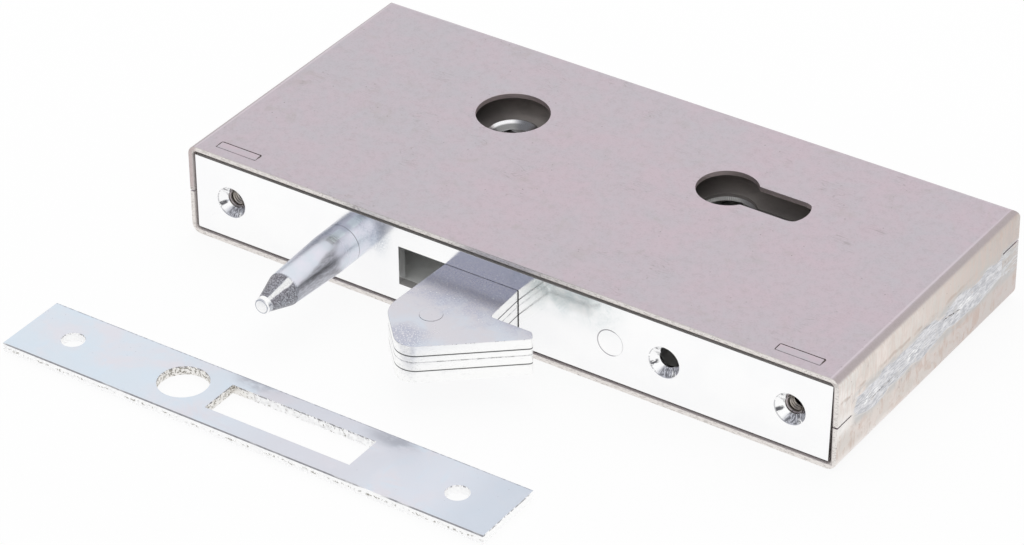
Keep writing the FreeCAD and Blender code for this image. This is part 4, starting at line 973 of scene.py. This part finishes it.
def weldBand(node, sideways, seed):
    look = bandLook
    steepness, inFront, behind = look["feather"]
    front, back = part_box(node)[0].y / mm - look["pastFront"], look["toBack"]
    shape = bmesh.new()
    bmesh.ops.create_grid(shape, x_segments=look["cuts"][0], y_segments=look["cuts"][1], size=0.5)
    for vert in shape.verts:
        y = front + (vert.co.x + 0.5) * (back - front)
        spread = vert.co.y * 2
        z = look["middle"] + wobble(y * 0.07, seed, 0) * 0.5 + spread * look["reach"]
        border = min(
            1 - abs(spread) + wobble(y * 0.16, spread * 1.2, seed + 3) * 0.4,
            (y - front) / inFront + wobble(z * 0.4, seed, 2) * 0.3,
            (back - y) / behind,
        )
        mound = max(0.0, min(1.0, border * steepness))
        mound = mound * mound * (3 - 2 * mound)
        lumps = noise.fractal(Vector((y * 0.16, z * 0.7, seed)), 1.0, 2.1, 3) * 0.5 + 0.5
        height = -look["sunk"] + mound * (look["sunk"] + look["proud"] * (0.45 + 0.5 * lumps))
        height = min(height, look["proud"]) - crackDepth(look, y, z, seed)
        vert.co = Vector((sideways * (look["wall"] + height), y, z)) * mm
    grown = bmesh.ops.extrude_face_region(shape, geom=list(shape.faces))["geom"]
    for vert in [item for item in grown if isinstance(item, bmesh.types.BMVert)]:
        vert.co.x = sideways * look["inside"] * mm
    bmesh.ops.recalc_face_normals(shape, faces=shape.faces)
    piece = finished(shape, node + ".ground", "case", "weldMetal", crease=60)
    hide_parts(node)


weldBand("right_seam_weld", 1, 2.5)
weldBand("left_seam_weld", -1, 7.5)
print("weld bands laid")


def screwThread(node, x):   # the ridge of the thread that stands in a bracket's tapped hole
    look = threadLook
    half = look["pitch"] * look["flank"]
    shape = bmesh.new()
    corners = []
    for radius, along in ((look["wall"], -half), (look["crest"], 0), (look["wall"], half)):
        place = Vector((x + radius, look["front"] + half + along, look["height"]))
        corners.append(shape.verts.new(place * mm))
    face = shape.faces.new(corners)
    centre = Vector((x, look["front"], look["height"])) * mm
    steps = look["turns"] * look["steps"]
    climb = Vector((0, look["pitch"] / look["steps"], 0)) * mm
    bmesh.ops.spin(shape, geom=[face, *face.edges, *face.verts], cent=centre, axis=(0, 1, 0),
                   dvec=climb, angle=look["turns"] * 2 * math.pi, steps=steps, use_duplicate=False)
    bmesh.ops.recalc_face_normals(shape, faces=shape.faces)
    finished(shape, node + ".thread", "case", "threadSteel", crease=40)


for node, x in threadLook["holes"].items():
    screwThread(node, x)

ringLook = {
    "axis": (33.3, 14.3),
    "profile": ((8.62, 19.9), (7.95, 19.9), (8.5, 20.8), (8.62, 20.8)),   # radius and height
    "teeth": 144,
    "tooth": 0.2,
    "toothed": 8.5,   # radius up to which the ring is toothed
    "gap": 48,   # degrees left open on each side of the profile's leg
}


def seatRing():   # the fine toothed ring round the cylinder's seat in the cover
    look = ringLook
    x, y = look["axis"]
    shape = bmesh.new()
    corners = [shape.verts.new(Vector((x + r, y, z)) * mm) for r, z in look["profile"]]
    face = shape.faces.new(corners)
    centre = Vector((x, y, 0)) * mm
    start = math.radians(look["gap"])
    sweep = 2 * (math.pi - start)
    bmesh.ops.rotate(shape, verts=shape.verts, cent=centre, matrix=Matrix.Rotation(start, 3, "Z"))
    bmesh.ops.spin(shape, geom=[face, *face.edges, *face.verts], cent=centre, axis=(0, 0, 1),
                   angle=sweep, steps=look["teeth"], use_duplicate=False)
    for vert in shape.verts:
        spoke = vert.co - centre
        spoke.z = 0
        bearing = math.atan2(spoke.y, spoke.x) % (2 * math.pi)
        tooth = round((bearing - start) / sweep * look["teeth"])
        if spoke.length < look["toothed"] * mm and tooth % 2:
            vert.co -= spoke.normalized() * look["tooth"] * mm
    bmesh.ops.recalc_face_normals(shape, faces=shape.faces)
    finished(shape, "lock_cover.seat_ring", "case", "ringSteel", crease=20)


seatRing()
print("threads and seat ring cut")

studioLook = {
    "floorColour": (0.93, 0.93, 0.93),
    "floorSize": 4,   # metres from the middle to an edge
    "floorDrop": 0.05,   # mm below the part
    "floorGlow": 0.90,
    "skyLight": 0.78,
    "flagColour": (0.52, 0.53, 0.585),
    "flagAim": (-0.50, -0.72, 0.48),
    "flagBorder": (0.55, 0.90),
    "lampPower": 5.0,
    "lampSize": 1.3,
    "lampPlace": (-0.25, 0.35, 1.1),
}


def seenBackground(board):   # 1 for camera, glossy and transmission rays, which meet a white background
    names = ("Is Camera Ray", "Is Glossy Ray", "Is Transmission Ray")
    return [board.node("LightPath", output=name) for name in names]


def makeFloor():
    look = studioLook
    shape = bmesh.new()
    bmesh.ops.create_grid(shape, x_segments=8, y_segments=8, size=look["floorSize"])
    bmesh.ops.translate(shape, verts=shape.verts, vec=(0, 0, -look["floorDrop"] * mm))
    mesh = bpy.data.meshes.new("studioFloor")
    shape.to_mesh(mesh)
    shape.free()
    floor = bpy.data.objects.new("studioFloor", mesh)
    scene.collection.objects.link(floor)
    paint = Paint("floorPaper", {"Roughness": 0.9, "Base Color": (*look["floorColour"], 1)})
    seen = seenBackground(paint)
    glow = paint.node("Emission", None, {"Color": (1, 1, 1, 1), "Strength": 1.0})
    amount = seen[0].higher(seen[1]).higher(seen[2]) * look["floorGlow"]
    body = Wire(paint, paint.shader.outputs[0])
    blend = paint.node("MixShader", None, {0: amount, 1: body, 2: glow})
    paint.tree.links.new(blend.socket, paint.tree.nodes["Material Output"].inputs["Surface"])
    mesh.materials.append(paint.material)


def makeSky():
    look = studioLook
    world = bpy.data.worlds.new("studioSky")
    world.use_nodes = True
    scene.world = world
    sky = Board(world.node_tree)
    seen = seenBackground(sky)
    aim = tuple(Vector(look["flagAim"]).normalized())
    direction = sky.node("TexCoord", output="Generated")
    nearness = sky.node("VectorMath", {"operation": "DOT_PRODUCT"}, {0: direction, 1: aim}, "Value")
    flag = nearness.fade(*look["flagBorder"])
    mirrored = sky.mix(flag, (1, 1, 1), look["flagColour"])
    level = look["skyLight"]
    colour = sky.mix(seen[1], (level, level, level), mirrored)
    colour = sky.mix(seen[0].higher(seen[2]), colour, (1, 1, 1))
    background = sky.tree.nodes["Background"]
    sky.tree.links.new(colour.socket, background.inputs["Color"])


def makeLamp():
    look = studioLook
    lamp = bpy.data.lights.new("softBox", "AREA")
    lamp.energy = look["lampPower"]
    lamp.size = look["lampSize"]
    holder = bpy.data.objects.new("softBox", lamp)
    holder.visible_glossy = False
    place = Vector(look["lampPlace"])
    turn = (-place).to_track_quat("-Z", "Y").to_matrix().to_4x4()
    holder.matrix_world = Matrix.Translation(place) @ turn
    scene.collection.objects.link(holder)


cameraLook = {
    "place": (0.52894, -0.82330, 0.64554),
    "turn": (56.3756, 0.4771, 33.9930),
    "lens": 146.073,
    "shift": (0.00968, 0.00565),
    "sensor": 36,
    "near": 0.01,   # metres, nothing closer is drawn
}


def makeCamera():
    look = cameraLook
    camera = bpy.data.cameras.new("camera")
    camera.lens = look["lens"]
    camera.sensor_width = look["sensor"]
    camera.shift_x, camera.shift_y = look["shift"]
    camera.clip_start = look["near"]
    holder = bpy.data.objects.new("camera", camera)
    holder.location = look["place"]
    holder.rotation_euler = Euler([math.radians(angle) for angle in look["turn"]], "XYZ")
    scene.collection.objects.link(holder)
    scene.camera = holder


makeFloor()
makeSky()
makeLamp()
makeCamera()
scene.view_settings.view_transform = "Standard"
print("studio ready")
